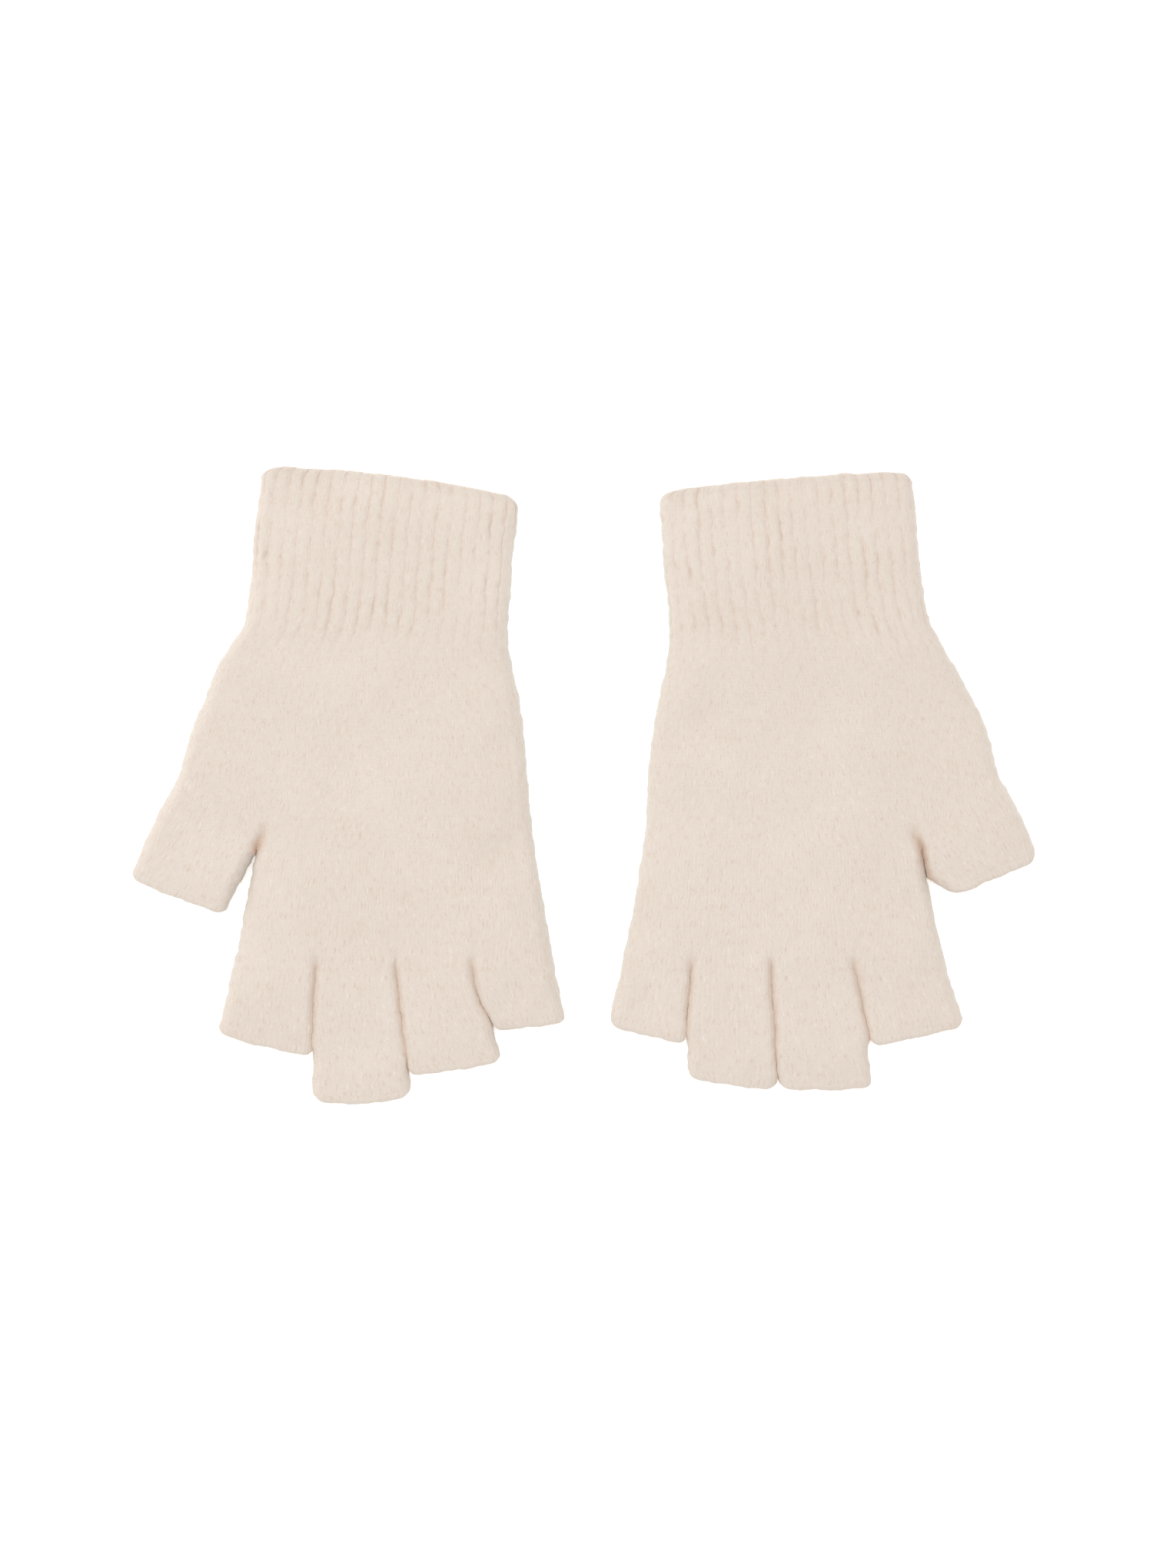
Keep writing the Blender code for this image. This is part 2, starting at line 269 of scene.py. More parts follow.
class Layout:
    """The edges and meeting points of one glove, with its thumb towards -x."""

    def __init__(self, side):
        self.side = side
        self.turn = turn = TURNS[side]
        self.thumb_contact = THUMB_CONTACT[side]
        down, up = (0, -1), (0, 1)
        mouth = corners(f"{side}_cuff_welt", turn, up)
        cuff_thumb = side_points(f"{side}_cuff", turn, -1)
        cuff_little = side_points(f"{side}_cuff", turn, 1)
        palm_thumb = side_points(f"{side}_lower_palm", turn, -1)
        palm_little = side_points(f"{side}_lower_palm", turn, 1)
        upper = corners(f"{side}_upper_palm", turn, down)
        self.wrist_y = joint_spots[f"{side}_wrist_bend"][1]
        self.knuckle_y = joint_spots[f"{side}_index_bend"][1]
        hinge = joint_spots[f"{side}_thumb_bend"][:2] * (turn, 1)
        welt = fold_points(f"{side}_thumb_welt", turn)
        away = welt.mean(axis=0) - hinge
        away /= np.linalg.norm(away)
        thumb = corners(f"{side}_thumb", turn, away)
        thumb_end = corners(f"{side}_thumb_welt", turn, away)
        wrist = [(cuff_thumb[-1] + palm_thumb[0]) / 2, (cuff_little[-1] + palm_little[0]) / 2]
        self.thumb_out = (thumb[0] + palm_thumb[-1]) / 2
        self.crotch = upper[0] + (0, SLEEVE_GAP)
        self.palm_edge = upper[2] + (0, SLEEVE_GAP)
        knuckles = [np.array((upper[1][0], self.knuckle_y)), np.array((upper[3][0], self.knuckle_y))]
        tubes = {name: corners(f"{side}_{name}_finger", turn, down) for name in FINGERS}
        ends = {name: corners(f"{side}_{name}_finger_welt", turn, down) for name in FINGERS}
        self.roots = [knuckles[0]]
        for first, second in zip(FINGERS[:-1], FINGERS[1:]):
            meeting = (tubes[first][2][0] + tubes[second][0][0]) / 2
            self.roots.append(np.array((meeting, self.knuckle_y)))
        self.roots.append(knuckles[1])

        upper_little = side_points(f"{side}_upper_palm", turn, 1)
        upper_web = side_points(f"{side}_upper_palm", turn, -1)
        self.thumb_side = Edge(
            between_stops(cuff_thumb, mouth[1], wrist[0]),
            between_stops(palm_thumb, wrist[0], self.thumb_out),
            [self.thumb_out],
            [thumb_end[1]],
            swells=SWELLS[f"{side}_thumb"], way=-1,
        )
        self.little_side = Edge(
            between_stops(cuff_little, mouth[3], wrist[1]),
            between_stops(palm_little, wrist[1], self.palm_edge),
            between_stops(upper_little, self.palm_edge, knuckles[1]),
            [knuckles[1]],
            [ends["little"][3]],
            swells=SWELLS[f"{side}_little"],
        )
        self.web_side = Edge(
            between_stops(upper_web, self.crotch, knuckles[0]), [knuckles[0]], [ends["index"][1]]
        )
        self.wrist = self.thumb_side(1), self.little_side(1)
        self.thumb_ends = (thumb_end[1], thumb_end[3])
        self.finger_ends = {}
        for name in FINGERS:
            first, last = np.array(END_SHIFTS[f"{side}_{name}"]) * MM
            self.finger_ends[name] = (ends[name][1] + first, ends[name][3] + last)
        root_widths = [b[0] - a[0] for a, b in zip(self.roots[:-1], self.roots[1:])]
        step = WALE_PITCH / COLUMNS_PER_WALE
        self.finger_columns = [round(face_length(width) / step) for width in root_widths]
        self.thumb_root_width = np.linalg.norm(self.crotch - self.thumb_out)
        self.thumb_columns = round(face_length(self.thumb_root_width) / step)
        self.palm_columns = sum(self.finger_columns)
        self.columns = self.thumb_columns + self.palm_columns


layouts = {side: Layout(side) for side in TURNS}
for layout in layouts.values():
    print(layout.side, "glove:", layout.columns // COLUMNS_PER_WALE, "wales on each face,",
          layout.thumb_columns // COLUMNS_PER_WALE, "of them in the thumb")

# %% [markdown]
# ## A knitted section
# Each section is a flattened tube. It is drawn as rows that cross it, and each row runs round the tube:
# over the upper layer from the thumb side, then back under the lower layer. A section is kept as plain
# arrays until it becomes a mesh, because its neighbour has to start on exactly the same row.

# %% Section
FULL_TOUCH = 0.6                 # from this fullness on, a pressed fold has no round left


class Section:
    """Rows of a flattened tube: where its columns lie in plan, and how full it stands at each."""

    def __init__(self, name, body, plan, fullness, half, first_wale, course_start, crease=None):
        self.name = name
        self.body = body
        self.plan = plan                # rows, columns, (x, y)
        self.fullness = fullness        # rows, columns: 0 at a fold, 1 where the tube is fully open
        # painted shade along the creases, which the finish reads
        self.crease = np.zeros(plan.shape[:2]) if crease is None else crease
        self.half = half                # rows: half the tube's height
        self.first_wale = first_wale
        self.course_start = course_start
        self.welt = self.welt_nap = None


def row_widths(plan):
    """How far along its row each point lies."""
    steps = np.linalg.norm(np.diff(plan, axis=1), axis=2)
    return np.concatenate([np.zeros((len(plan), 1)), np.cumsum(steps, axis=1)], axis=1)


def fold_profile(distance, touch, reach):
    """The fullness beside a fold: from 0 at a free fold, from touch where another tube presses on it."""
    flatter = 1 + np.clip(touch / FULL_TOUCH, 0, 1)       # a pressed fold rises in a slope, not a round
    return touch + (1 - touch) * round_off(distance, reach) ** flatter


def side_fullness(plan, first_side=(0, FOLD_REACH), last_side=(0, FOLD_REACH)):
    """The rounding over both side folds; each side gives its touch and reach, for all rows or by row."""
    run = row_widths(plan)
    column = lambda value: np.broadcast_to(value, len(plan))[:, None]
    first = fold_profile(run, column(first_side[0]), column(first_side[1]))
    last = fold_profile(run[:, -1:] - run, column(last_side[0]), column(last_side[1]))
    return np.minimum(first, last)


def rows_for(length):
    return max(8, round(length / ROW_STEP)) + 1


print("a section 40 mm long has", rows_for(40 * MM), "rows")

# %% [markdown]
# ## The valley above a crotch
# Where two tubes part, the cloth dips. Tubes that lie against each other stay full right up to where
# they touch, so the dip between two fingers is shallow and narrow. The thumb's is deeper. Along the
# dip the cloth rises slowly into the palm, and across it as steeply as beside the tubes' own folds.

# %% Valleys
FINGER_TOUCH, FINGER_REACH, FINGER_VALLEY = 0.75, 2.6 * MM, 5.5 * MM
THUMB_TOUCH, THUMB_REACH, THUMB_VALLEY = 0.50, 3.0 * MM, 11.0 * MM
THUMB_SHADE = (0.9, 1.4 * MM)    # how strongly and how widely the bottom of a dip is shaded
FINGER_SHADE = (0.42, 1.0 * MM)
NO_SHADE = (0.0, 1.0 * MM)


def finger_dip(plan, root):
    """The distance from the point where two fingers part, drawn out along the palm."""
    away = plan - root
    return np.hypot(away[..., 0], away[..., 1] * FINGER_REACH / FINGER_VALLEY)


def thumb_dip(plan, layout):
    """The distance from the thumb's crotch, drawn out along the line between the thumb and the palm."""
    to_thumb = (layout.thumb_out - layout.crotch) / layout.thumb_root_width
    to_palm = np.array((1.0, 0.0))
    shares = (plan - layout.crotch) @ np.linalg.inv(np.array([to_thumb, to_palm]))
    opening = 1 + to_thumb @ to_palm
    lean = opening * (THUMB_REACH / THUMB_VALLEY) ** 2 - 1
    a, b = shares[..., 0], shares[..., 1]
    return np.sqrt(np.maximum(a * a + b * b + 2 * lean * a * b, 0))


# painted shade along the bottom of a dip: strongest on its middle line, fading to either side
def crease_shade_profile(distance, shade):
    strength, width = shade
    return strength * np.exp(-((distance / width) ** 2))


for side, layout in layouts.items():
    print(side, "thumb's dip reaches", round(layout.thumb_contact / MM, 1), "mm along the palm's edge")

# %% [markdown]
# ## Edges that aren't ruled
# Knitting gives no straight edge. Every point is nudged sideways by a small, smooth amount that depends
# only on where it is, so that the outline wavers and two sections still meet exactly.

# %% Unevenness
# Each nudge is a wave: its length in mm, its heading, and its size in mm.
NUDGES = ((9.1, 0.4, 0.10), (5.7, 1.9, 0.08), (3.9, 2.8, 0.07), (2.9, 5.2, 0.07), (2.4, 3.6, 0.06))


def uneven(plan):
    """The plan with every point nudged a little."""
    nudged = plan.copy()
    for i, (length, heading, size) in enumerate(NUDGES):
        for axis, turn in ((0, heading), (1, heading + 2.1)):
            along = plan[..., 0] * math.cos(turn) + plan[..., 1] * math.sin(turn)
            nudged[..., axis] += size * MM * np.sin(along / (length * MM) * 2 * math.pi + 1.7 * i + axis)
    return nudged


print("edges waver by up to", round(sum(size for length, heading, size in NUDGES), 2), "mm")

# %% [markdown]
# ## The cuff
# The cuff narrows above the wrist. Its mouth bows outwards, because nothing holds the middle of a loose
# edge back, and its corners are round.

# %% Cuff section
CUFF_CORNER = 3.0 * MM           # radius of the corners at the mouth
CORNER_END = 0.93                # a corner stops this far round, so the mouth keeps a blunt end
CUFF_BOW = {"left": 2.1 * MM, "right": 1.4 * MM}
CUFF_DROOP = 0.5 * MM            # how far the very corners of the mouth fall back


def corner_inset(distance, radius):
    """How far a tube's side draws in at a distance from its mouth, round a corner."""
    share = np.clip(1 - distance / radius, 0, CORNER_END)
    return radius * (1 - np.sqrt(1 - share**2))


def lay_columns(start, end, shares):
    return start + (end - start) * shares[:, None]


def knit_row(start, end, columns):
    """A row of evenly knitted columns from one point to another."""
    return lay_columns(start, end, face_shares(np.linalg.norm(end - start), columns))


def cuff_section(layout):
    length = np.linalg.norm(layout.thumb_side(0) - layout.wrist[0])
    count = rows_for(length)
    across = np.linspace(-1, 1, layout.columns + 1)
    bow = CUFF_BOW[layout.side] * (1 - across**2) - CUFF_DROOP * abs(across) ** 16
    plan = np.zeros((count, layout.columns + 1, 2))
    for row, t in enumerate(np.linspace(0, 1, count)):
        start, end = layout.thumb_side(t), layout.little_side(t)
        way = (end - start) / np.linalg.norm(end - start)
        inset = corner_inset(t * length, CUFF_CORNER)
        start, end = start + way * inset, end - way * inset
        plan[row] = knit_row(start, end, layout.columns)
        plan[row, :, 1] += bow * (1 - t) ** 2
    half = FLAT_HALF - (FLAT_HALF - MOUTH_HALF) * (1 - np.linspace(0, 1, count)) ** 2
    name = f"{layout.side}_cuff"
    return Section(name, name, uneven(plan), side_fullness(plan), half, 0, -(count - 1) * ROW_STEP)


for side, layout in layouts.items():
    print(side, "cuff's mouth is", round(np.ptp(cuff_section(layout).plan[0, :, 0]) / MM, 1), "mm wide")

# %% [markdown]
# ## The palm
# Below the wrist the wales spread out over the ball of the thumb. At the bottom of the lower palm they
# part: some go into the thumb, and the rest go on into the upper palm, where they gather again into
# four fingers. So the lower palm's last row has a bend in it, and the other rows lead up to that.

# %% Palm sections
KNUCKLE_GATHER = 16.0 * MM       # how far above the knuckles the wales start to gather
GATHER_POWER = 6                 # the thumb's wales gather only close to its root


def touching(contact, touch, reach):
    """A side's touch and reach, where contact goes from 1, pressed together, to 0, free."""
    contact = np.asarray(contact)
    return touch * contact, FOLD_REACH + (reach - FOLD_REACH) * contact


def bent_row(layout, clustered):
    """The lower palm's last row: the thumb's root line, then straight across to the palm's edge."""
    width = layout.palm_edge[0] - layout.crotch[0]
    if clustered:
        thumb_shares = face_shares(layout.thumb_root_width, layout.thumb_columns)
        palm_shares = face_shares(width, layout.palm_columns)
    else:
        whole = face_shares(layout.thumb_root_width + width, layout.columns)
        split = layout.thumb_columns
        thumb_shares = whole[: split + 1] / whole[split]
        palm_shares = (whole[split:] - whole[split]) / (1 - whole[split])
    thumb_part = lay_columns(layout.thumb_out, layout.crotch, thumb_shares)
    palm_part = lay_columns(layout.crotch, layout.palm_edge, palm_shares)
    return np.concatenate([thumb_part, palm_part[1:]])


def lower_palm_section(layout):
    wrist = knit_row(*layout.wrist, layout.columns)
    end = bent_row(layout, False)
    gathered = bent_row(layout, True) - end
    count = rows_for(layout.wrist_y - layout.crotch[1])
    across = np.linspace(0, 1, layout.columns + 1)[:, None]
    plan = np.zeros((count, layout.columns + 1, 2))
    for row, s in enumerate(np.linspace(0, 1, count)):
        line = wrist + (end - wrist) * s
        thumb_pull = layout.thumb_side(1 + s) - line[0]
        little_pull = layout.little_side(1 + s) - line[-1]
        pulled = thumb_pull * (1 - across) ** 3 + little_pull * across**3
        plan[row] = line + gathered * s**GATHER_POWER + pulled
    dip = thumb_dip(plan, layout)
    fullness = np.minimum(side_fullness(plan), fold_profile(dip, THUMB_TOUCH, THUMB_REACH))
    side = layout.side
    return Section(f"{side}_lower_palm", f"{side}_hand", uneven(plan), fullness,
                   np.full(count, FLAT_HALF), 0, 0, crease_shade_profile(dip, THUMB_SHADE))


def upper_palm_section(layout):
    start = bent_row(layout, True)[layout.thumb_columns:]
    parts = [knit_row(*part) for part in zip(layout.roots, layout.roots[1:], layout.finger_columns)]
    gathered = np.concatenate([parts[0]] + [part[1:] for part in parts[1:]])
    even = knit_row(layout.roots[0], layout.roots[-1], layout.palm_columns)
    length = layout.crotch[1] - layout.knuckle_y
    count = rows_for(length)
    across = np.linspace(0, 1, layout.palm_columns + 1)[:, None]
    plan = np.zeros((count, layout.palm_columns + 1, 2))
    for row, s in enumerate(np.linspace(0, 1, count)):
        near = 1 - smooth((1 - s) * length / KNUCKLE_GATHER)
        line = start + (even + (gathered - even) * near - start) * s
        web_pull = layout.web_side(s) - line[0]
        little_pull = layout.little_side(2 + s) - line[-1]
        plan[row] = line + web_pull * (1 - across) ** 4 + little_pull * across**4
    parting = 1 - smooth((layout.crotch[1] - plan[:, 0, 1]) / layout.thumb_contact)
    fullness = side_fullness(plan, touching(parting, THUMB_TOUCH, THUMB_REACH))
    crease = crease_shade_profile(row_widths(plan), THUMB_SHADE) * parting[:, None]
    for root in layout.roots[1:-1]:
        dip = finger_dip(plan, root)
        fullness = np.minimum(fullness, fold_profile(dip, FINGER_TOUCH, FINGER_REACH))
        crease = np.maximum(crease, crease_shade_profile(dip, FINGER_SHADE))
    side = layout.side
    lower_rows = rows_for(layout.wrist_y - layout.crotch[1])
    return Section(f"{side}_upper_palm", f"{side}_hand", uneven(plan), fullness, np.full(count, FLAT_HALF),
                   layout.thumb_columns, (lower_rows - 1) * ROW_STEP, crease)


print("the palms gather into fingers over", round(KNUCKLE_GATHER / MM), "mm")

# %% [markdown]
# ## Sides of fingers and thumb
# Beside another finger a tube lies against it as far as the shorter of the two reaches, and then stands
# free. The thumb lies against the palm's edge in the same way. Drawing each shared side once, for both
# of the pieces that touch there, keeps a crease between them and no gap.

# %% Sides
HOLLOWS = {"left_little": 1.5 * MM, "left_ring": 0.3 * MM}    # how far a shared side curves inwards
PART_START, PART_OVER = 0.72, 0.5           # where the thumb starts to leave the palm, and over how much
THUMB_CLEAR = 0.05 * MM          # between the thumb and the palm's edge, from a little below the crotch


class Side:
    """One side of a tube: where it runs, how hard it presses on what lies beside it, and the shade painted
    along it.
    """

    def __init__(self, place, contact=lambda s: 0.0, touch=0.0, reach=FOLD_REACH, shade=NO_SHADE):
        self.place, self.contact, self.touch, self.reach = place, contact, touch, reach
        self.shade = shade


def shared_side(root, own_end, other_end, hollow):
    """The side of a finger that lies against its neighbour, up to where the shorter one ends."""
    shorter = min(root[1] - own_end[1], root[1] - other_end[1])

    def passed(s):
        return s * (root[1] - own_end[1]) / (root[1] - other_end[1])

    def contact(s):
        return float(1 - smooth((passed(s) - 0.86) / 0.26))

    def place(s):
        own = root + (own_end - root) * s
        other = root + (other_end - root) * min(passed(s), 1)
        together = min((root[1] - own[1]) / shorter, 1)
        meeting = (own[0] + other[0]) / 2 - hollow * math.sin(math.pi * together)
        return np.array((own[0] + (meeting - own[0]) * contact(s), own[1]))

    return Side(place, contact, FINGER_TOUCH, FINGER_REACH, FINGER_SHADE)


def thumb_inner_side(layout):
    """The thumb's side next to the palm: against the palm's edge a little way, then free."""
    crotch, corner = layout.crotch, layout.thumb_ends[1]
    depth = crotch[1] - corner[1]

    def contact(s):
        return float(1 - smooth((s * depth / layout.thumb_contact - PART_START) / PART_OVER))

    def place(s):
        own = crotch + (corner - crotch) * s
        web = layout.web_side(min(s * depth / (crotch[1] - layout.knuckle_y), 1))
        apart = THUMB_CLEAR * min(1, 8 * s)
        return np.array((own[0] + (web[0] - apart - own[0]) * contact(s), own[1]))

    return Side(place, contact, THUMB_TOUCH, THUMB_REACH, THUMB_SHADE)


for side, contact in THUMB_CONTACT.items():
    print(side, "thumb leaves the palm", round(PART_START * contact / MM, 1), "mm below the crotch")

# %% [markdown]
# ## Fingers and thumb
# A finger tube starts on its own part of the knuckle row and widens a little. Its opening bows outwards
# in the middle, because the loose edge isn't pulled straight, and its corners are round. The thumb is
# the same tube on a sloping row.

# %% Tube sections
TIP_ROUND = 2.0 * MM             # radius of the corners at an opening
TIP_BOW = (0.6 * MM, 1.0 * MM, 12)           # the middle stands out, the corners fall back, how suddenly
LOOSE_BOWS = {"left_middle_finger": (0.7 * MM, 2.2 * MM, 3)}      # the loosest opening sags most
PRESSED_INSET = 0.75             # a corner that lies against another finger loses this much of its round


def tube_section(name, body, first, sides, ends, first_wale, course_start):
    """A tube from its first row to the line between its two ends."""
    across = np.linspace(-1, 1, len(first))
    tip = knit_row(*ends, len(first) - 1)
    run = (ends[1] - ends[0]) / np.linalg.norm(ends[1] - ends[0])
    out = np.array((run[1], -run[0]))
    middle_out, corner_in, power = LOOSE_BOWS.get(name, TIP_BOW)
    bow = middle_out * (1 - across**2) - corner_in * abs(across) ** power
    length = np.linalg.norm(tip.mean(axis=0) - first.mean(axis=0))
    count = rows_for(length)
    plan = np.zeros((count, len(first), 2))
    share = ((across + 1) / 2)[:, None]
    s = np.linspace(0, 1, count)
    for row, here in enumerate(s):
        inset = corner_inset((1 - here) * length, TIP_ROUND) * run
        free = [1 - PRESSED_INSET * side.contact(here) for side in sides]
        line = first + (tip - first) * here
        pulls = (sides[0].place(here) + inset * free[0] - line[0],
                 sides[1].place(here) - inset * free[1] - line[-1])
        plan[row] = line + pulls[0] * (1 - share) ** 3 + pulls[1] * share**3
        plan[row] += out * (bow * here**3)[:, None]
    half = FLAT_HALF - (FLAT_HALF - MOUTH_HALF) * s**1.5
    contacts = [np.array([side.contact(here) for here in s]) for side in sides]
    reaches = [touching(contact, side.touch, side.reach) for contact, side in zip(contacts, sides)]
    widths = row_widths(plan)
    crease = np.maximum(crease_shade_profile(widths, sides[0].shade) * contacts[0][:, None],
                        crease_shade_profile(widths[:, -1:] - widths, sides[1].shade) * contacts[1][:, None])
    return Section(name, body, plan, side_fullness(plan, *reaches), half, first_wale, course_start, crease)


# %% [markdown]
# ## One whole glove
# The sections are made from the cuff down, in the order in which a glove is knitted, so each tube can
# start on the row where the one before it ended. The tubes are nudged last, all by the same rule.

# %% Glove
def glove(layout):
    side = layout.side
    cuff, lower, upper = (make(layout) for make in (cuff_section, lower_palm_section, upper_palm_section))
    thumb = tube_section(
        f"{side}_thumb", f"{side}_thumb", bent_row(layout, True)[: layout.thumb_columns + 1],
        [Side(lambda s: layout.thumb_side(2 + s)), thumb_inner_side(layout)], layout.thumb_ends, 0,
        upper.course_start,
    )
    sections = [cuff, lower, upper, thumb]
    column = 0
    knuckle_course = upper.course_start + (len(upper.plan) - 1) * ROW_STEP
    for number, (name, columns) in enumerate(zip(FINGERS, layout.finger_columns)):
        root, far_root = layout.roots[number : number + 2]
        first = knit_row(root, far_root, columns)
        ends = layout.finger_ends
        before = Side(lambda s: layout.web_side(1 + s))
        after = Side(lambda s: layout.little_side(3 + s))
        if number > 0:
            hollow = HOLLOWS.get(f"{side}_{name}", 0.0)
            before = shared_side(root, ends[name][0], ends[FINGERS[number - 1]][1], hollow)
        if number < 3:
            following = FINGERS[number + 1]
            hollow = HOLLOWS.get(f"{side}_{following}", 0.0)
            after = shared_side(far_root, ends[name][1], ends[following][0], hollow)
        sections.append(tube_section(
            f"{side}_{name}_finger", f"{side}_{name}_finger", first, [before, after], ends[name],
            layout.thumb_columns + column, knuckle_course,
        ))
        column += columns
    for section in sections[3:]:
        section.plan = uneven(section.plan)
    return sections


gloves = {side: glove(layout) for side, layout in layouts.items()}
for section in gloves["left"]:
    print(section.name, "has", section.plan.shape[0], "rows of", section.plan.shape[1], "columns")

# %% [markdown]
# ## From layout to cloth
# The upper layer stands at full height away from the folds, and the lower layer lies on the table. A
# hand-made flatness would look stiff, so the upper layer also rises and falls by a fraction of a
# millimetre in long, shallow waves.

# %% Skins
WAVES = ((41, 0.3, 0.16), (27, 1.5, 0.12), (57, 2.4, 0.15), (19, 4.1, 0.05))   # mm long, heading, mm high


def waviness(plan, side):
    height = np.zeros(plan.shape[:-1])
    shift = 2.3 if side == "left" else 0        # so that the two gloves don't wave alike
    for i, (length, heading, rise) in enumerate(WAVES):
        along = plan[..., 0] * math.cos(heading) + plan[..., 1] * math.sin(heading)
        height += rise * MM * np.sin(along / (length * MM) * 2 * math.pi + i + shift)
    return height


def as_rings(top_plan, top_z, bottom_z):
    """Points round the tube: the upper layer from the thumb side, then the lower layer back."""
    top = np.concatenate([top_plan, top_z[..., None]], axis=2)
    bottom = np.concatenate([top_plan, bottom_z[..., None]], axis=2)[:, ::-1]
    return np.concatenate([top, bottom], axis=1)


def outer_rings(section):
    half = section.half[:, None]
    middle = FLOOR_LIFT + half
    full = section.fullness
    side = section.name.split("_")[0]
    top = middle + PINCH + (half - PINCH) * full + waviness(section.plan, side) * full
    bottom = middle - PINCH - (half - PINCH) * (1 - (1 - full) ** 1.5)
    return as_rings(section.plan, top, bottom)


def inner_rings(section):
    """The inside of the tube, a wall's thickness in from the outside."""
    run = row_widths(section.plan)
    width = run[:, -1:]
    half = section.half[:, None]
    near = np.minimum(run, width - run)
    inset = WALL + near * (width / 2 - WALL) / (width / 2)
    place = np.where(run <= width / 2, inset, width - inset)
    plan, full = np.zeros_like(section.plan), np.zeros_like(run)
    for row in range(len(run)):
        for axis in (0, 1):
            plan[row, :, axis] = np.interp(place[row], run[row], section.plan[row, :, axis])
        full[row] = np.interp(place[row], run[row], section.fullness[row])
    under_skin = PINCH + (half - PINCH) * full - WALL
    in_fold = INNER_PINCH + (half - WALL) * round_off(inset - WALL, INNER_REACH)
    gap = np.maximum(np.minimum(under_skin, in_fold), INNER_PINCH)
    middle = FLOOR_LIFT + half
    return as_rings(plan, middle + gap, middle - gap)


def outward(rings):
    """The direction straight out of the cloth at each point of the rings."""
    round_tube = np.roll(rings, -1, axis=1) - np.roll(rings, 1, axis=1)
    along_tube = np.gradient(rings, axis=0)
    out = np.cross(along_tube, round_tube)
    return out / np.linalg.norm(out, axis=2, keepdims=True)


for side, sections in gloves.items():
    for section in sections:
        section.outer, section.inner = outer_rings(section), inner_rings(section)
print("the left lower palm stands", round(gloves["left"][1].outer[..., 2].max() / MM, 2), "mm high")

# %% [markdown]
# ## Letting the cloth settle
# A layout is more even than cloth is. So each glove goes once through Blender's Cloth. A closed copy of
# its skin is remeshed into even faces, made a little too large for itself, held where it lies on the
# table, and blown up slightly, as a glove is by the air left inside. Remeshing loses the rows, so the
# copy isn't used itself: only how far each spot has moved is read off it, and the rows move by that.

# %% An even copy
SETTLE_FACE = 2.6 * MM           # face size of the copy
COPY_SKIP = 3                    # the copy takes every third column, as remeshing evens it anyway


def add_object(name, data):
    obj = bpy.data.objects.new(name, data)
    bpy.context.collection.objects.link(obj)
    return obj


def evaluated(obj):
    """The object as its modifiers make it."""
    return obj.evaluated_get(bpy.context.evaluated_depsgraph_get())


def closed_copy(sections):
    """Every section as a closed tube, all in one mesh."""
    points, faces, base = [], [], 0
    for section in sections:
        rings = section.outer[:, ::COPY_SKIP]
        rows, around = rings.shape[:2]
        points.append(rings.reshape(-1, 3))
        j = np.arange(around)
        for row in range(rows - 1):
            here = base + row * around
            k = (j + 1) % around
            faces += np.stack([here + j, here + around + j, here + around + k, here + k], axis=1).tolist()
        faces += [(base + j).tolist(), (base + (rows - 1) * around + j[::-1]).tolist()]
        base += rows * around
    mesh = bpy.data.meshes.new("copy")
    mesh.from_pydata(np.concatenate(points).tolist(), [], faces)
    return mesh


def even_copy(sections):
    """The closed copy, remeshed into faces of one size."""
    copy = add_object("copy", closed_copy(sections))
    remesh = copy.modifiers.new("even faces", "REMESH")
    remesh.mode, remesh.voxel_size = "VOXEL", SETTLE_FACE
    bpy.context.view_layer.update()
    copy.data = bpy.data.meshes.new_from_object(evaluated(copy))
    copy.modifiers.clear()
    return copy


# %% Blowing it up
SETTLE_STEPS = 20
SETTLE_PRESSURE = 1.2
SETTLE_SPARE = 0.012             # how much too large the cloth is
HELD_BELOW = 1.2 * MM            # the cloth under this height is held


def blown(copy):
    """Where the copy's points are before and after Cloth."""
    before = mesh_points(copy.data)
    held = copy.vertex_groups.new(name="held")
    held.add(np.flatnonzero(before[:, 2] < HELD_BELOW).tolist(), 1.0, "REPLACE")
    cloth = copy.modifiers.new("cloth", "CLOTH")
    cloth.settings.vertex_group_mass = "held"
    cloth.settings.use_pressure = True
    cloth.settings.uniform_pressure_force = SETTLE_PRESSURE
    cloth.settings.shrink_min = -SETTLE_SPARE
    cloth.settings.effector_weights.gravity = 0
    cloth.point_cache.frame_end = SETTLE_STEPS
    for step in range(1, SETTLE_STEPS + 1):
        bpy.context.scene.frame_set(step)
    after = mesh_points(evaluated(copy).data)
    bpy.context.scene.frame_set(1)
    bpy.data.objects.remove(copy)
    return before, after


# %% [markdown]
# ## Reading the moves off the copy
# The moves are gathered on a grid seen from above and blurred, because only the long, soft rises are
# wanted: the ribs and the relief come later. Where the cloth folds it keeps its place.

# %% Moving the rows
SETTLE_LIMIT = 0.8 * MM          # the furthest that a point may move
MAP_CELL, MAP_MARGIN = 1.5 * MM, 12 * MM
BLURS = 4
SETTLE_SHARES = (0.5, 0.5, 1.0)  # how much of a move is kept in x, y and z


def blur(grid):
    """A small even blur, a few times along each way."""
    for axis in (0, 1) * BLURS:
        grid = (np.roll(grid, 1, axis) + 2 * grid + np.roll(grid, -1, axis)) / 4
    return grid


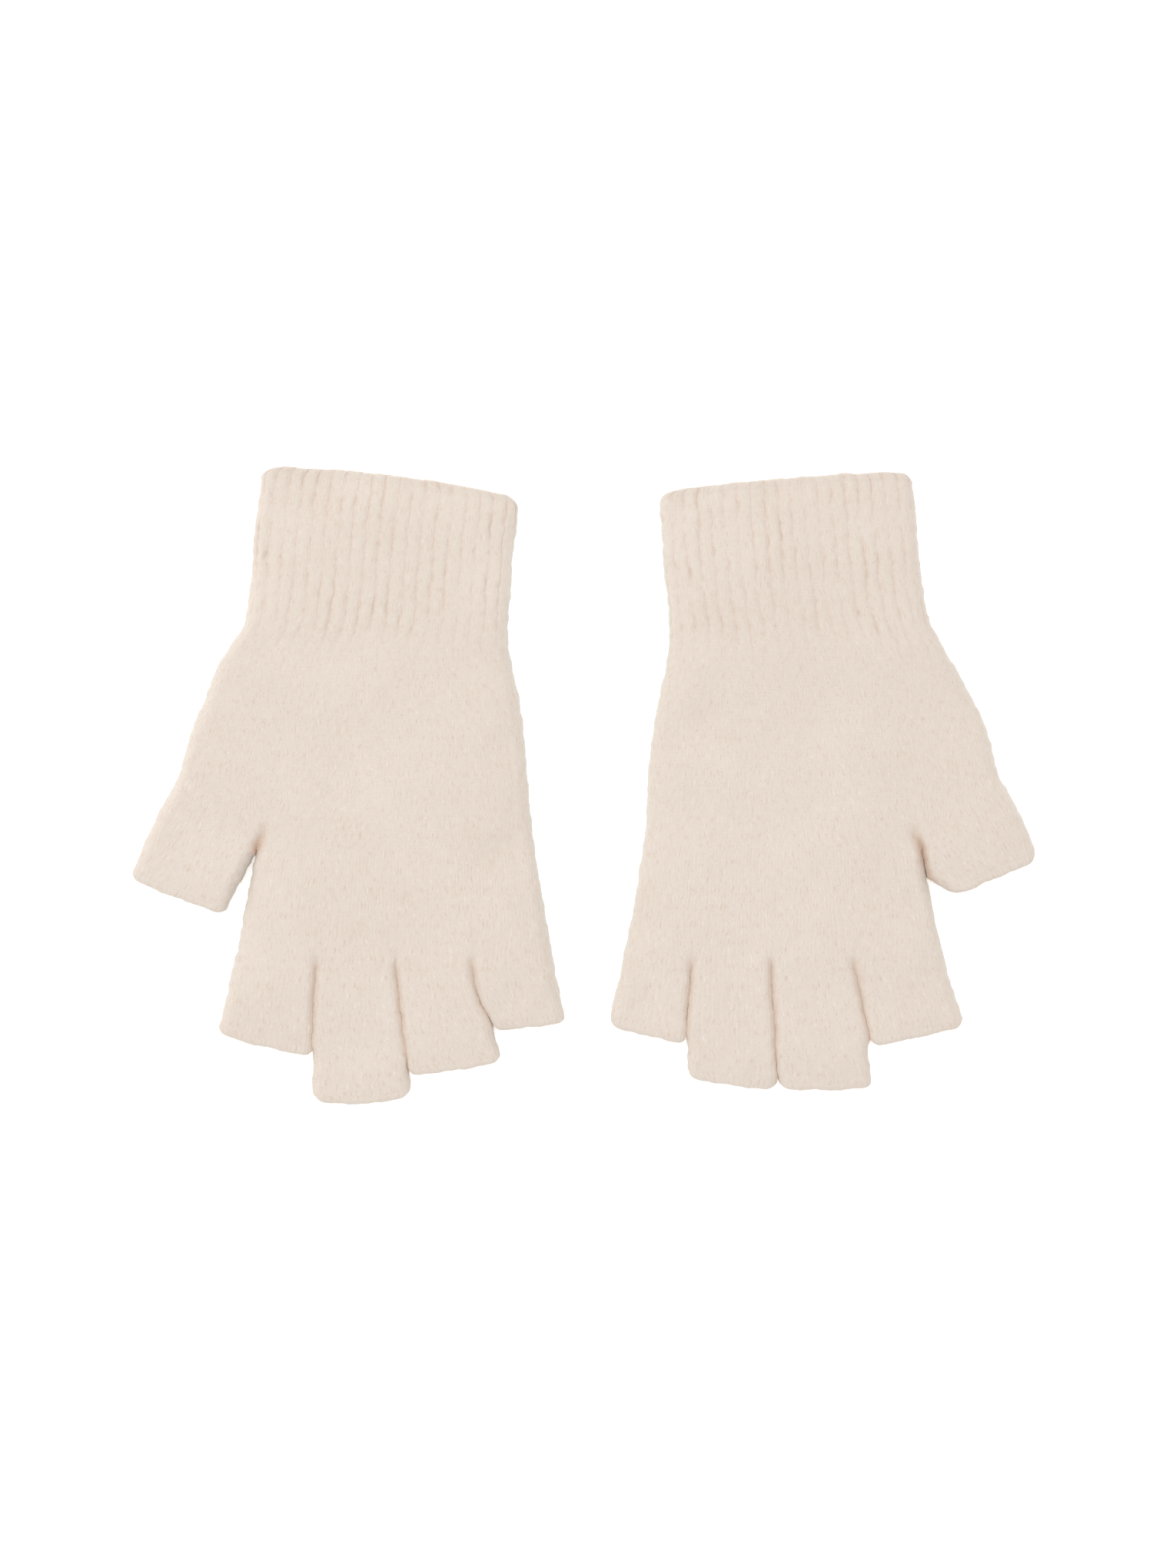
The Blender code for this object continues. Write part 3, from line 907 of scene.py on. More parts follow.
class MoveMap:
    """How far the upper layer moved, on a grid seen from above."""

    def __init__(self, before, after):
        moves = after - before
        size = np.linalg.norm(moves, axis=1, keepdims=True)
        moves *= np.minimum(1, SETTLE_LIMIT / np.maximum(size, 1e-9))
        top = before[:, 2] > FLAT_HALF + FLOOR_LIFT
        self.low = before[:, :2].min(axis=0) - MAP_MARGIN
        cells = np.ceil((before[:, :2].max(axis=0) + MAP_MARGIN - self.low) / MAP_CELL).astype(int) + 1
        total, count = np.zeros((*cells, 3)), np.zeros((*cells, 1))
        spot = np.round((before[top, :2] - self.low) / MAP_CELL).astype(int)
        np.add.at(total, (spot[:, 0], spot[:, 1]), moves[top])
        np.add.at(count, (spot[:, 0], spot[:, 1]), 1)
        total, count = blur(total), blur(count)
        self.moves = total / np.maximum(count, 0.05)

    def at(self, plan):
        place = (plan - self.low) / MAP_CELL
        cell = np.floor(place).astype(int)
        f = (place - cell)[..., None, :]
        i, j = cell[..., 0], cell[..., 1]
        near, far = self.moves[i, j], self.moves[i + 1, j]
        near_up, far_up = self.moves[i, j + 1], self.moves[i + 1, j + 1]
        fx, fy = f[..., 0], f[..., 1]
        return (near * (1 - fx) + far * fx) * (1 - fy) + (near_up * (1 - fx) + far_up * fx) * fy


def settle(sections):
    """Moves the upper layer of every section as the blown copy moved; the folds stay where they are."""
    moved = MoveMap(*blown(even_copy(sections)))
    for section in sections:
        columns = section.plan.shape[1]
        shift = moved.at(section.plan) * section.fullness[..., None] * SETTLE_SHARES
        section.outer[:, :columns] += shift
        section.inner[:, :columns] += shift
    return moved


for side, sections in gloves.items():
    heights = settle(sections).moves[..., 2] / MM

for sections in gloves.values():
    for section in sections:
        section.out = outward(section.outer)

# %% [markdown]
# ## Joining the sections
# Two sections that meet share a row of points, and the cloth has to face the same way on both sides of
# it. Each section works out its directions alone, so the shared rows take the average of the two.

# %% Shared rows
def ring_part(rings_row, first, columns):
    """The part of a wide ring that a narrower tube takes over: the same columns above and below."""
    count = len(rings_row)
    return list(range(first, first + columns + 1)) + list(range(count - 1 - first - columns, count - first))


def share_row(wide, wide_row, narrow, first):
    part = ring_part(wide.outer[wide_row], first, narrow.plan.shape[1] - 1)
    both = wide.out[wide_row][part] + narrow.out[0]
    both /= np.linalg.norm(both, axis=1, keepdims=True)
    wide.out[wide_row][part] = both
    narrow.out[0] = both
    return abs(wide.outer[wide_row][part] - narrow.outer[0]).max()


for side, sections in gloves.items():
    cuff, lower, upper, thumb, *fingers = sections
    layout = layouts[side]
    misses = [share_row(cuff, -1, lower, 0), share_row(lower, -1, thumb, 0),
              share_row(lower, -1, upper, layout.thumb_columns)]
    first = 0
    for finger, columns in zip(fingers, layout.finger_columns):
        misses.append(share_row(upper, -1, finger, first))
        first += columns
    print(side, "sections meet to within", round(max(misses) / MM, 4), "mm")

# %% [markdown]
# ## A mesh from rings
# Outside rows, then inside rows back again, make one closed skin: the same idea as a sock turned half
# inside out. Lofting faces between neighbouring rows builds the whole wall, with its rim at each open
# end. Every point also carries what the pattern tools need: its wale, its rib, the way out of the
# cloth, and how much relief it takes.

# %% Loft
def loft(name, rings, sharp_rings, turn, courses, values):
    """A closed skin through rings that all have the same number of points."""
    loops, around = len(rings), len(rings[0])
    points = np.concatenate(rings) * (turn, 1, 1)
    here = np.arange(loops)[:, None] * around
    later = (np.arange(loops)[:, None] + 1) % loops * around
    j = np.arange(around)[None, :]
    k = (j + 1) % around
    wale, next_wale = j + 0 * here, j + 1 + 0 * here
    course, next_course = courses[:, None] + 0 * j, np.roll(courses, -1)[:, None] + 0 * j
    order = (0, 1, 2, 3) if turn > 0 else (3, 2, 1, 0)
    in_order = lambda grids: np.stack([grids[i] for i in order], axis=2).reshape(-1)
    faces = in_order([here + j, later + j, later + k, here + k])
    across = in_order([wale, wale, next_wale, next_wale]) / COLUMNS_PER_WALE
    length = in_order([course, next_course, next_course, course])

    mesh = bpy.data.meshes.new(name)
    mesh.vertices.add(len(points))
    mesh.vertices.foreach_set("co", points.astype(np.float32).reshape(-1))
    mesh.loops.add(len(faces))
    mesh.loops.foreach_set("vertex_index", faces.astype(np.int32))
    mesh.polygons.add(len(faces) // 4)
    mesh.polygons.foreach_set("loop_start", np.arange(0, len(faces), 4, dtype=np.int32))
    mesh.update(calc_edges=True)
    mesh.validate()
    uv = mesh.uv_layers.new(name="knit")
    uv.data.foreach_set("uv", np.stack([across, length], axis=1).astype(np.float32).reshape(-1))
    for key, value in values.items():
        is_way = value.ndim == 3
        layer = mesh.attributes.new(key, "FLOAT_VECTOR" if is_way else "FLOAT", "POINT")
        value = value * (turn, 1, 1) if is_way else value
        layer.data.foreach_set("vector" if is_way else "value", value.astype(np.float32).reshape(-1))
    ends = np.zeros(len(mesh.edges) * 2, np.int32)
    mesh.edges.foreach_get("vertices", ends)
    ring_of = ends.reshape(-1, 2) // around
    same = (ring_of[:, 0] == ring_of[:, 1]) & np.isin(ring_of[:, 0], sharp_rings)
    mesh.attributes.new("sharp_edge", "BOOLEAN", "EDGE").data.foreach_set("value", same)
    mesh.shade_smooth()
    mesh.attributes["sharp_edge"].data.foreach_set("value", same)
    return add_object(name, mesh)


# %% [markdown]
# ## Where the relief goes
# The ribs are deepest in the cuff and fade into the plain palm just below the wrist. Close to a crotch
# everything is calm, because three sections meet there. Where shade is painted into a crease, and a
# greyer painted shading onto the rims where the cloth turns over a fold, is worked out here too,
# because only the layout knows where they are.

# %% Pattern values
RIBS_END = 7.0 * MM              # how far below the wrist line the ribs have gone
RIB_FADE = 17.0 * MM
RIM_SHADING_ENDS = 0.75                  # how full the cloth stands where the greyer shade of a fold ends
PARTING_CALM = 3.0 * MM          # no relief this close to a crotch, so that neighbours still meet


def pattern_values(section, layout, rows):
    """Wale, rib, rib strength, relief, painted crease shade and painted rim shading at each point of the
    outer rings.
    """
    plan = section.plan[rows]
    columns = plan.shape[1]
    doubled = lambda grid: np.concatenate([grid, grid[:, ::-1]], axis=1)
    wale = np.arange(2 * columns) / COLUMNS_PER_WALE + section.first_wale / COLUMNS_PER_WALE
    wale = np.repeat(wale[None], len(plan), axis=0)
    share = np.arange(columns) / (columns - 1)
    rib = np.concatenate([share, 2 - share[::-1]]) * RIBS_PER_FACE
    rib = np.repeat(rib[None], len(plan), axis=0)
    ribbed = np.zeros(plan.shape[:2])
    if "cuff" in section.name or "lower" in section.name:
        ribbed = smooth((plan[..., 1] - (layout.wrist_y - RIBS_END)) / RIB_FADE)
    partings = [layout.crotch] + layout.roots[1:-1]
    calm = np.ones(plan.shape[:2])
    for point in partings:
        calm = np.minimum(calm, smooth(np.linalg.norm(plan - point, axis=2) / PARTING_CALM))
    # painted rim shading: a greyer tone over the cloth that turns over a fold
    rim = smooth(1 - section.fullness[rows] / RIM_SHADING_ENDS)
    return [wale, rib] + [doubled(grid) for grid in (ribbed, calm, section.crease[rows], rim)]


def knit_object(section, layout, turn):
    """The section's wall: every outer row, then the inner rows that are kept."""
    cuff, palm = section.name.endswith("cuff"), "palm" in section.name
    first = WELT_ROWS if cuff else 0
    last = len(section.outer) - 1 - (0 if cuff or palm else WELT_ROWS)
    outside = list(range(first, last + 1))
    inside = sorted({*range(first, last + 1, INNER_ROW_SKIP), last}, reverse=True)
    rings = [section.outer[r] for r in outside] + [section.inner[r] for r in inside]
    wale, rib, ribbed, calm, crease, rim = pattern_values(section, layout, outside + inside)
    keep = np.array([1.0] * len(outside) + [0.0] * len(inside))[:, None]
    out = section.out[outside + inside] * keep[..., None]
    start = section.course_start / ROW_STEP
    courses = np.array([start + r for r in outside + inside]) * ROW_STEP / COURSE_PITCH
    values = {"outward": out, "wale": wale, "rib": rib, "ribbed": ribbed * keep, "relief": calm * keep,
              "crease": crease * keep, "rim": rim * keep}
    edges = [0, len(outside) - 1, len(outside), len(rings) - 1]
    return loft(f"{section.name}_knit", rings, edges, turn, courses, values)


for side, sections in gloves.items():
    for section in sections:
        section.knit = knit_object(section, layouts[side], TURNS[side])
    print(side, "glove's walls have", sum(len(s.knit.data.polygons) for s in sections), "faces")

# %% [markdown]
# ## Welts
# The last courses at an opening are cast off loosely and roll into a thin, round edge. The welt's cross
# section runs along the outside, turns through half a circle at the very edge, and comes back inside.

# %% Welts
WELT_PROUD = 0.05 * MM
WELT_TURN = 8                    # steps round the edge
BLUNT = 0.42                     # share of the welt's reach that its round takes up


def welt_profile():
    """The welt's cross section: how far along the welt, and how far through the wall, from 0 to 1."""
    angles = [math.pi * step / WELT_TURN for step in range(1, WELT_TURN)]
    round_edge = [(1 - BLUNT + BLUNT * math.sin(a), 0.5 - 0.5 * math.cos(a)) for a in angles]
    outside = [(0.0, 0.0), (0.2, 0.0), (0.4, 0.0), (1 - BLUNT, 0.0)]
    return outside + round_edge + [(1 - BLUNT, 1.0), (0.4, 1.0), (0.0, 1.0)]


def welt_object(section, layout, turn):
    at_start = section.name.endswith("cuff")
    rows = [WELT_ROWS, 1, 0] if at_start else [-1 - WELT_ROWS, -2, -1]
    outer, inner, out = (grid[rows] for grid in (section.outer, section.inner, section.out))
    profile = welt_profile()
    rings, outs = [], []
    for reach, depth in profile:
        spot = reach * 2
        a, f = (0, spot) if spot <= 1 else (1, spot - 1)
        skin = outer[a] * (1 - f) + outer[a + 1] * f
        lining = inner[a] * (1 - f) + inner[a + 1] * f
        way = out[a] * (1 - f) + out[a + 1] * f
        proud = WELT_PROUD * min(1, reach / 0.3) * (1 - depth)
        rings.append(skin * (1 - depth) + lining * depth + way * proud)
        outs.append(way * (1 - depth))
    if at_start:
        rings, outs = rings[::-1], outs[::-1]
    wale, rib, ribbed, calm, crease, rim = pattern_values(section, layout, [rows[0]])
    count = len(rings)
    courses = np.linspace(0, 2 * WELT_ROWS, count) + section.course_start / COURSE_PITCH
    whole = lambda grid: np.repeat(grid, count, axis=0)
    fade = 1 - smooth(np.array([depth for reach, depth in profile]) * 1.5)[:, None]
    fade = fade[::-1] if at_start else fade
    values = {"outward": np.array(outs), "wale": whole(wale), "rib": whole(rib),
              "ribbed": whole(ribbed) * fade, "relief": np.ones((count, wale.shape[1])),
              "crease": whole(crease) * fade, "rim": whole(rim) * fade}
    return loft(f"{section.name}_welt_edge", rings, [0, count - 1], turn, courses, values)


for side, sections in gloves.items():
    for section in sections:
        if "palm" not in section.name:
            section.welt = welt_object(section, layouts[side], TURNS[side])
total = sum(len(o.data.polygons) for o in bpy.data.objects if o.type == "MESH" and "body:" not in o.name)
print("faces in all, packed sleeves included:", total)

# %% [markdown]
# ## Writing shader maths as sums
# A node tree drawn by hand is hard to read in a script. This small class wraps a socket, so that
# `height * 0.3 + noise` adds the Math nodes itself. It serves the material trees and the geometry
# trees alike, because both have a Math node.

# %% Socket expressions
class Wire:
    """One output socket, with the arithmetic that the trees below use."""

    def __init__(self, tree, socket):
        self.tree, self.socket = tree, socket

    def math(self, operation, *others):
        values = dict(enumerate((self,) + others))
        return self.tree.node("ShaderNodeMath", {"operation": operation}, values)[0]

    def __add__(self, other): return self.math("ADD", other)
    def __radd__(self, other): return self.math("ADD", other)
    def __sub__(self, other): return self.math("SUBTRACT", other)
    def __rsub__(self, other): return (self * -1).math("ADD", other)
    def __mul__(self, other): return self.math("MULTIPLY", other)
    def __rmul__(self, other): return self.math("MULTIPLY", other)
    def __pow__(self, other): return self.math("POWER", other)

    def clamped(self):
        return self.math("MAXIMUM", 0.0).math("MINIMUM", 1.0)


class Tree:
    """A node tree that is written as expressions."""

    def __init__(self, nodes_tree):
        self.nodes_tree = nodes_tree

    def node(self, kind, settings=None, values=None):
        """Adds a node: its settings first, then the values or links of its inputs. Returns its outputs."""
        node = self.nodes_tree.nodes.new(kind)
        for key, value in (settings or {}).items():
            setattr(node, key, value)
        for key, value in (values or {}).items():
            if isinstance(value, Wire):
                self.nodes_tree.links.new(value.socket, node.inputs[key])
            else:
                node.inputs[key].default_value = value
        return Outputs(self, node)

    def noise(self, place, scale, detail=2.0, roughness=0.5):
        return self.node("ShaderNodeTexNoise", {}, {
            "Vector": place, "Scale": scale, "Detail": detail, "Roughness": roughness})[0]

    def place(self, x, y, z=0.0):
        return self.node("ShaderNodeCombineXYZ", {}, {0: x, 1: y, 2: z})[0]

    def stored(self, name, kind="FLOAT"):
        """A value that the mesh carries at each point, in a geometry tree."""
        return self.node("GeometryNodeInputNamedAttribute", {"data_type": kind}, {"Name": name})[0]

    def varied(self, low, high, seed):
        """A number that is different for each instance."""
        values = {2: low, 3: high, "Seed": seed}
        return self.node("FunctionNodeRandomValue", {"data_type": "FLOAT"}, values)[1]


class Outputs:
    """A node's outputs, by number or by name."""

    def __init__(self, tree, node):
        self.tree, self.node = tree, node

    def __getitem__(self, key):
        return Wire(self.tree, self.node.outputs[key])


def geometry_group(name, inputs):
    """A geometry tree with named inputs, besides the geometry that goes in and out."""
    group = bpy.data.node_groups.new(name, "GeometryNodeTree")
    for key, kind in {"Geometry": "Geometry", **inputs, "Finish": "Material"}.items():
        group.interface.new_socket(key, in_out="INPUT", socket_type=f"NodeSocket{kind}")
    group.interface.new_socket("Geometry", in_out="OUTPUT", socket_type="NodeSocketGeometry")
    tree = Tree(group)
    return group, tree, tree.node("NodeGroupInput")


def finish_group(tree, geometry, given):
    """The end of a geometry tree: real meshes, with their finish on."""
    solid = tree.node("GeometryNodeRealizeInstances", {}, {"Geometry": geometry})[0]
    done = tree.node("GeometryNodeSetMaterial", {}, {"Geometry": solid, "Material": given["Finish"]})[0]
    tree.node("NodeGroupOutput", {}, {"Geometry": done})


print("sums that a socket takes: + - * ** and any Math node by name")

# %% [markdown]
# ## Relief in the cloth
# Ribs come from alternating knit and purl wales: the knit wales stand up and the purl wales sink
# between them as narrow grooves. The plain cloth has only a faint line for each wale, blurred by the
# brushing. A geometry tree moves each point along the way out of the cloth. It stores how deep in a
# hollow the point lies, so that the finish can paint shade down in the grooves.

# %% Relief tree
BLUR_SCALE, PATCH_SCALE = 210.0, 75.0        # noises of about 5 mm and 13 mm, which break up the rows
CROWN_POWER = 0.55               # below 1, a knit wale is broad and the groove beside it is narrow
WANDER_LEAST = 0.15              # no groove closes up altogether


def relief_tree():
    inputs = dict.fromkeys(("Wale height", "Rib depth", "Fluff height", "Fluff size"), "Float")
    group, tree, given = geometry_group("knit relief", inputs)
    here = tree.node("GeometryNodeInputPosition")[0]
    blur = tree.noise(here, BLUR_SCALE, 1.0)
    tufts = tree.noise(here, given["Fluff size"].math("MAXIMUM", 0.0001) ** -1.0, 3.0, 0.6)
    patch = tree.noise(here, PATCH_SCALE, 1.0)
    ribbed = tree.stored("ribbed")

    wale_line = (tree.stored("wale") * (2 * math.pi)).math("COSINE") * (blur * 1.6 - 0.3)
    wobble = (blur - 0.5) * 0.4 + (patch - 0.5) * 0.2
    crown = ((tree.stored("rib") + wobble) * math.pi).math("SINE").math("ABSOLUTE") ** CROWN_POWER
    wander = ((blur - 0.5) * 2.4 + (patch - 0.5) * 3.2 + 0.95).math("MAXIMUM", WANDER_LEAST)
    groove = (1 - crown) * ribbed * wander
    height = wale_line * given["Wale height"] * (1 - ribbed * 0.7) - groove * given["Rib depth"]
    height = (height + (tufts - 0.5) * 2 * given["Fluff height"]) * tree.stored("relief")

    way = tree.stored("outward", "FLOAT_VECTOR")
    shift = tree.node("ShaderNodeVectorMath", {"operation": "SCALE"}, {0: way, "Scale": height})[0]
    # the groove's depth, kept for the shade that the finish paints in the grooves
    marked = tree.node("GeometryNodeStoreNamedAttribute", {"data_type": "FLOAT", "domain": "POINT"},
                       {"Geometry": given["Geometry"], "Name": "hollow", "Value": groove.clamped()})[0]
    moved = tree.node("GeometryNodeSetPosition", {}, {"Geometry": marked, "Offset": shift})[0]
    finish_group(tree, moved, given)
    return group


relief = relief_tree()
print("the relief tree has", len(relief.nodes), "nodes")

# %% [markdown]
# ## The nap
# Brushed wool has a halo of loose fibre ends, and that is what softens the outline of the gloves. Real
# hair strands would be lost in the export, so each fibre is a thin three-sided spike. They are spread
# over the outside at random and lean over, as brushing leaves them.

# %% Nap tree
FIBRE_THICKNESS = 0.016          # radius at the root, for a fibre one unit long
SHORTEST = 0.45                  # the shortest fibre, as a share of the longest
ABOVE_TABLE = 0.02 * MM


def fibre_object():
    """One fibre, a thin three-sided spike one unit long that bends over towards its tip."""
    base = [(math.cos(a), math.sin(a), 0.0) for a in (0, 2.1, 4.2)]
    middle = [(0.6 * x + 3.0, 0.6 * y, 0.5) for x, y, z in base]
    tip = [(14.0, 0.0, 0.85)]
    points = [(x * FIBRE_THICKNESS, y * FIBRE_THICKNESS, z) for x, y, z in base + middle + tip]
    sides = [(i, (i + 1) % 3, 3 + (i + 1) % 3, 3 + i) for i in range(3)]
    caps = [(3 + i, 3 + (i + 1) % 3, 6) for i in range(3)]
    mesh = bpy.data.meshes.new("fibre")
    mesh.from_pydata(points, [], sides + caps + [(2, 1, 0)])
    mesh.shade_smooth()
    return bpy.data.objects.new("fibre", mesh)


def nap_tree(fibre):
    inputs = {**dict.fromkeys(("Fibres per square metre", "Fibre length", "Lean"), "Float"), "Seed": "Int"}
    group, tree, given = geometry_group("brushed nap", inputs)
    length = given["Fibre length"]
    on_outside = tree.stored("relief").math("GREATER_THAN", 0.5)
    spread = tree.node("GeometryNodeDistributePointsOnFaces", {"distribute_method": "RANDOM"}, {
        "Mesh": given["Geometry"], "Density": given["Fibres per square metre"] * on_outside,
        "Seed": given["Seed"]})
    tilt = tree.node("FunctionNodeRandomValue", {"data_type": "FLOAT_VECTOR"},
                     {0: (-1, -1, -1), 1: (1, 1, 1), "Seed": 7})[0]
    tilted = tree.node("ShaderNodeVectorMath", {"operation": "SCALE"}, {0: tilt, "Scale": given["Lean"]})[0]
    aim = tree.node("ShaderNodeVectorMath", {"operation": "ADD"}, {0: spread["Normal"], 1: tilted})[0]
    turned = tree.node("FunctionNodeAlignRotationToVector", {"axis": "Z"}, {"Vector": aim})[0]
    twist = tree.node("FunctionNodeAxisAngleToRotation", {},
                      {"Axis": (0, 0, 1), "Angle": tree.varied(0.0, 6.2832, 11)})[0]
    spun = tree.node("FunctionNodeRotateRotation", {"rotation_space": "LOCAL"}, {0: turned, 1: twist})[0]
    hairs = tree.node("GeometryNodeInstanceOnPoints", {}, {
        "Points": spread["Points"], "Rotation": spun,
        "Instance": tree.node("GeometryNodeObjectInfo", {}, {0: fibre})["Geometry"],
        "Scale": tree.place(length, length, tree.varied(SHORTEST, 1.0, 3) * length)})[0]
    solid = tree.node("GeometryNodeRealizeInstances", {}, {"Geometry": hairs})[0]
    parts = tree.node("ShaderNodeSeparateXYZ", {}, {0: tree.node("GeometryNodeInputPosition")[0]})
    above = tree.place(parts["X"], parts["Y"], parts["Z"].math("MAXIMUM", ABOVE_TABLE))
    held = tree.node("GeometryNodeSetPosition", {}, {"Geometry": solid, "Position": above})[0]
    finish_group(tree, held, given)
    return group


def grow(obj, group, inputs):
    """Runs a geometry tree on an object and keeps the result as a plain mesh."""
    modifier = obj.modifiers.new("pattern", "NODES")
    modifier.node_group = group
    for item in group.interface.items_tree:
        if item.in_out == "INPUT" and item.name in inputs:
            modifier[item.identifier] = inputs[item.name]
    obj.update_tag()
    bpy.context.view_layer.update()
    mesh = bpy.data.meshes.new_from_object(evaluated(obj))
    mesh.name = obj.name
    obj.modifiers.remove(modifier)
    return mesh


nap = nap_tree(fibre_object())
print("the nap tree has", len(nap.nodes), "nodes")

# %% [markdown]
# ## The yarn's colour
# The yarn is a warm, pale cream. Brushed knit scatters light so evenly that its only shading comes from
# soft blotches of fibre, a faint streak along each wale and a little shadow down in the grooves; that
# shadow is painted into the colour. Sheen brightens the grazing edges, as loose fibres do. Light bounces
# about between the walls of a groove or a crease and comes out rosier, so the shade painted into these
# hollows is rose-tinted, not just darker. The cloth that turns over a fold is painted greyer than the
# rest: painted shading, which is the rim.

# %% Colours and helpers
CREAM = (0.715, 0.630, 0.556)
CREAM_LIGHT = (0.745, 0.662, 0.590)
CREAM_DEEP = (0.640, 0.540, 0.450)
# painted shade in the creases between tubes and beside the thumb
CREASE_PAINTED_SHADE = (0.560, 0.335, 0.210)
# painted shading: a greyer tone where the cloth turns over a fold
RIM_PAINTED_SHADING = (0.645, 0.648, 0.597)
# dark rose flecks of fibre, and the painted shade down in the rib grooves
FLECK_AND_GROOVE_SHADE_ROSE = (0.600, 0.440, 0.340)
FLECK_LIGHT = (0.850, 0.780, 0.715)
NAP_LIGHT = (0.760, 0.680, 0.610)
NAP_SHADE = (0.690, 0.610, 0.540)
SHEEN = {"Sheen Weight": 0.3, "Sheen Roughness": 0.5, "Sheen Tint": (1.0, 0.95, 0.89, 1.0)}


def new_material(name):
    """An empty finish, its tree, and the place of each point on the piece."""
    material = bpy.data.materials.new(name)
    material.use_nodes = True
    tree = Tree(material.node_tree)
    return material, tree, tree.node("ShaderNodeTexCoord")["Object"]


def principled(material, constants, links):
    """Sets the shader's sockets: constants directly, and links for what changes over the surface."""
    shader = material.node_tree.nodes["Principled BSDF"]
    for key, value in constants.items():
        shader.inputs[key].default_value = value
    for key, wire in links.items():
        material.node_tree.links.new(wire.socket, shader.inputs[key])
    return material


def tint(tree, amount, first, second):
    """A colour between two, by a value."""
    return tree.node("ShaderNodeMix", {"data_type": "RGBA", "clamp_factor": True}, {
        0: amount, 6: first if isinstance(first, Wire) else (*first, 1), 7: (*second, 1)})[2]


print("the yarn's cream is", CREAM)

# %% [markdown]
# ## The nap's finish
# A fibre that stands clear of the cloth is lit from all sides and lets light through. Real scattering
# inside tens of thousands of fibres takes long to render, so a faint, even glow stands in for it.
# Without it the fibres read as dark ticks.

# %% Nap finish
NAP_GLOW = 0.28
NAP_PATCH = 60.0                 # the nap's shade changes over about 17 mm


def nap_material():
    material, tree, place = new_material("nap")
    constants = {"Roughness": 0.95, "Specular IOR Level": 0.15, **SHEEN,
                 "Emission Color": (*NAP_LIGHT, 1), "Emission Strength": NAP_GLOW}
    colour = tint(tree, tree.noise(place, NAP_PATCH), NAP_SHADE, NAP_LIGHT)
    return principled(material, constants, {"Base Color": colour})


print("the nap glows with", NAP_GLOW, "of its own colour")

# %% [markdown]
# ## The knit's finish
# The colour is built up in layers, from large to small: blotches, streaks along the wales, darker and
# lighter flecks of fibre, then the painted shade of grooves and creases and the painted grey shading of
# rims. Each layer is a mix whose factor is a short sum of noises and of the values that the mesh
# carries. The stitches themselves are only in the bump, because brushing hides them from any distance.

# %% Knit finishes
BLOTCH_SCALE, FIBRE_SCALE, DASH_SCALE = 45.0, 900.0, 420.0       # noises of 22 mm, 1 mm and 2 mm
STREAK_COURSE = 0.11             # streaks to a course: one runs along nine courses
FLECK_WALE, FLECK_COURSE = 2.4, 0.42                             # flecks to a wale, and to a course


def carried(tree, name):
    """A value that the mesh carries, in a material."""
    return tree.node("ShaderNodeAttribute", {"attribute_name": name})["Fac"]


def knit_material(name, stitch_bump, streak):
    material, tree, place = new_material(name)
    knit = tree.node("ShaderNodeSeparateXYZ", {}, {0: tree.node("ShaderNodeUVMap", {"uv_map": "knit"})[0]})
    wale, course = knit["X"], knit["Y"]
    blotch = tree.noise(place, BLOTCH_SCALE, 4.0)
    fibre = tree.noise(place, FIBRE_SCALE, 3.0, 0.7)
    dashes = tree.noise(place, DASH_SCALE, 1.0)
    streaks = tree.noise(tree.place(wale, course * STREAK_COURSE), 1.0)
    flecks = tree.noise(tree.place(wale * FLECK_WALE, course * FLECK_COURSE), 1.0, 1.0)
    from_middle = (wale.math("FRACT") - 0.5).math("ABSOLUTE") * 2
    leg = (course + from_middle * 0.8).math("FRACT")
    stitch = (leg * math.pi).math("SINE") * (1 - from_middle**3.0)

    layers = (
        (((streaks - 0.5) * streak + (fibre - 0.5) * 0.35).clamped(), CREAM_DEEP),
        (((flecks - 0.60) * 8).clamped() * 0.45, FLECK_AND_GROOVE_SHADE_ROSE),
        (((0.38 - flecks) * 8).clamped() * 0.45, FLECK_LIGHT),
        # painted shade in the rib grooves, broken into dashes
        (carried(tree, "hollow") * ((dashes - 0.30) * 2.0).clamped() * 0.38, FLECK_AND_GROOVE_SHADE_ROSE),
        # painted shade in the creases, broken up by the blotches
        (carried(tree, "crease") * (blotch * 0.9 + 0.3).clamped() * 0.8, CREASE_PAINTED_SHADE),
        # painted rim shading over the folds
        (carried(tree, "rim") * 0.8, RIM_PAINTED_SHADING),
    )
    colour = tint(tree, (blotch - 0.42) * 2.4, CREAM, CREAM_LIGHT)
    for amount, shade in layers:
        colour = tint(tree, amount, colour, shade)
    height = stitch * stitch_bump + fibre * 0.5 + blotch * 0.2
    bump = tree.node("ShaderNodeBump", {}, {"Strength": 0.35, "Distance": 0.6 * MM, "Height": height})[0]
    constants = {"Roughness": 0.92, "Specular IOR Level": 0.22, **SHEEN}
    return principled(material, constants, {"Base Color": colour, "Normal": bump})


finishes = {
    "nap": nap_material(),
    "plain_knit": knit_material("plain knit", stitch_bump=0.25, streak=1.1),
    "rib_knit": knit_material("rib knit", stitch_bump=0.2, streak=0.8),
    "welt": knit_material("welt", stitch_bump=0.35, streak=0.8),
}
print("finishes:", ", ".join(finishes))

# %% [markdown]
# ## Dressing the gloves
# Now every section goes through the relief tree, and the nap is grown on the result.

# %% Relief and nap on every section
WALE_HEIGHTS = {"plain_knit": 0.04 * MM, "rib_knit": 0.04 * MM, "welt": 0.12 * MM}
RELIEF = {"Rib depth": 0.36 * MM, "Fluff height": 0.16 * MM, "Fluff size": 3.0 * MM}
NAP = {"Fibres per square metre": 1.1e6, "Fibre length": 1.35 * MM, "Lean": 1.3}
FIBRE_FACES = 7


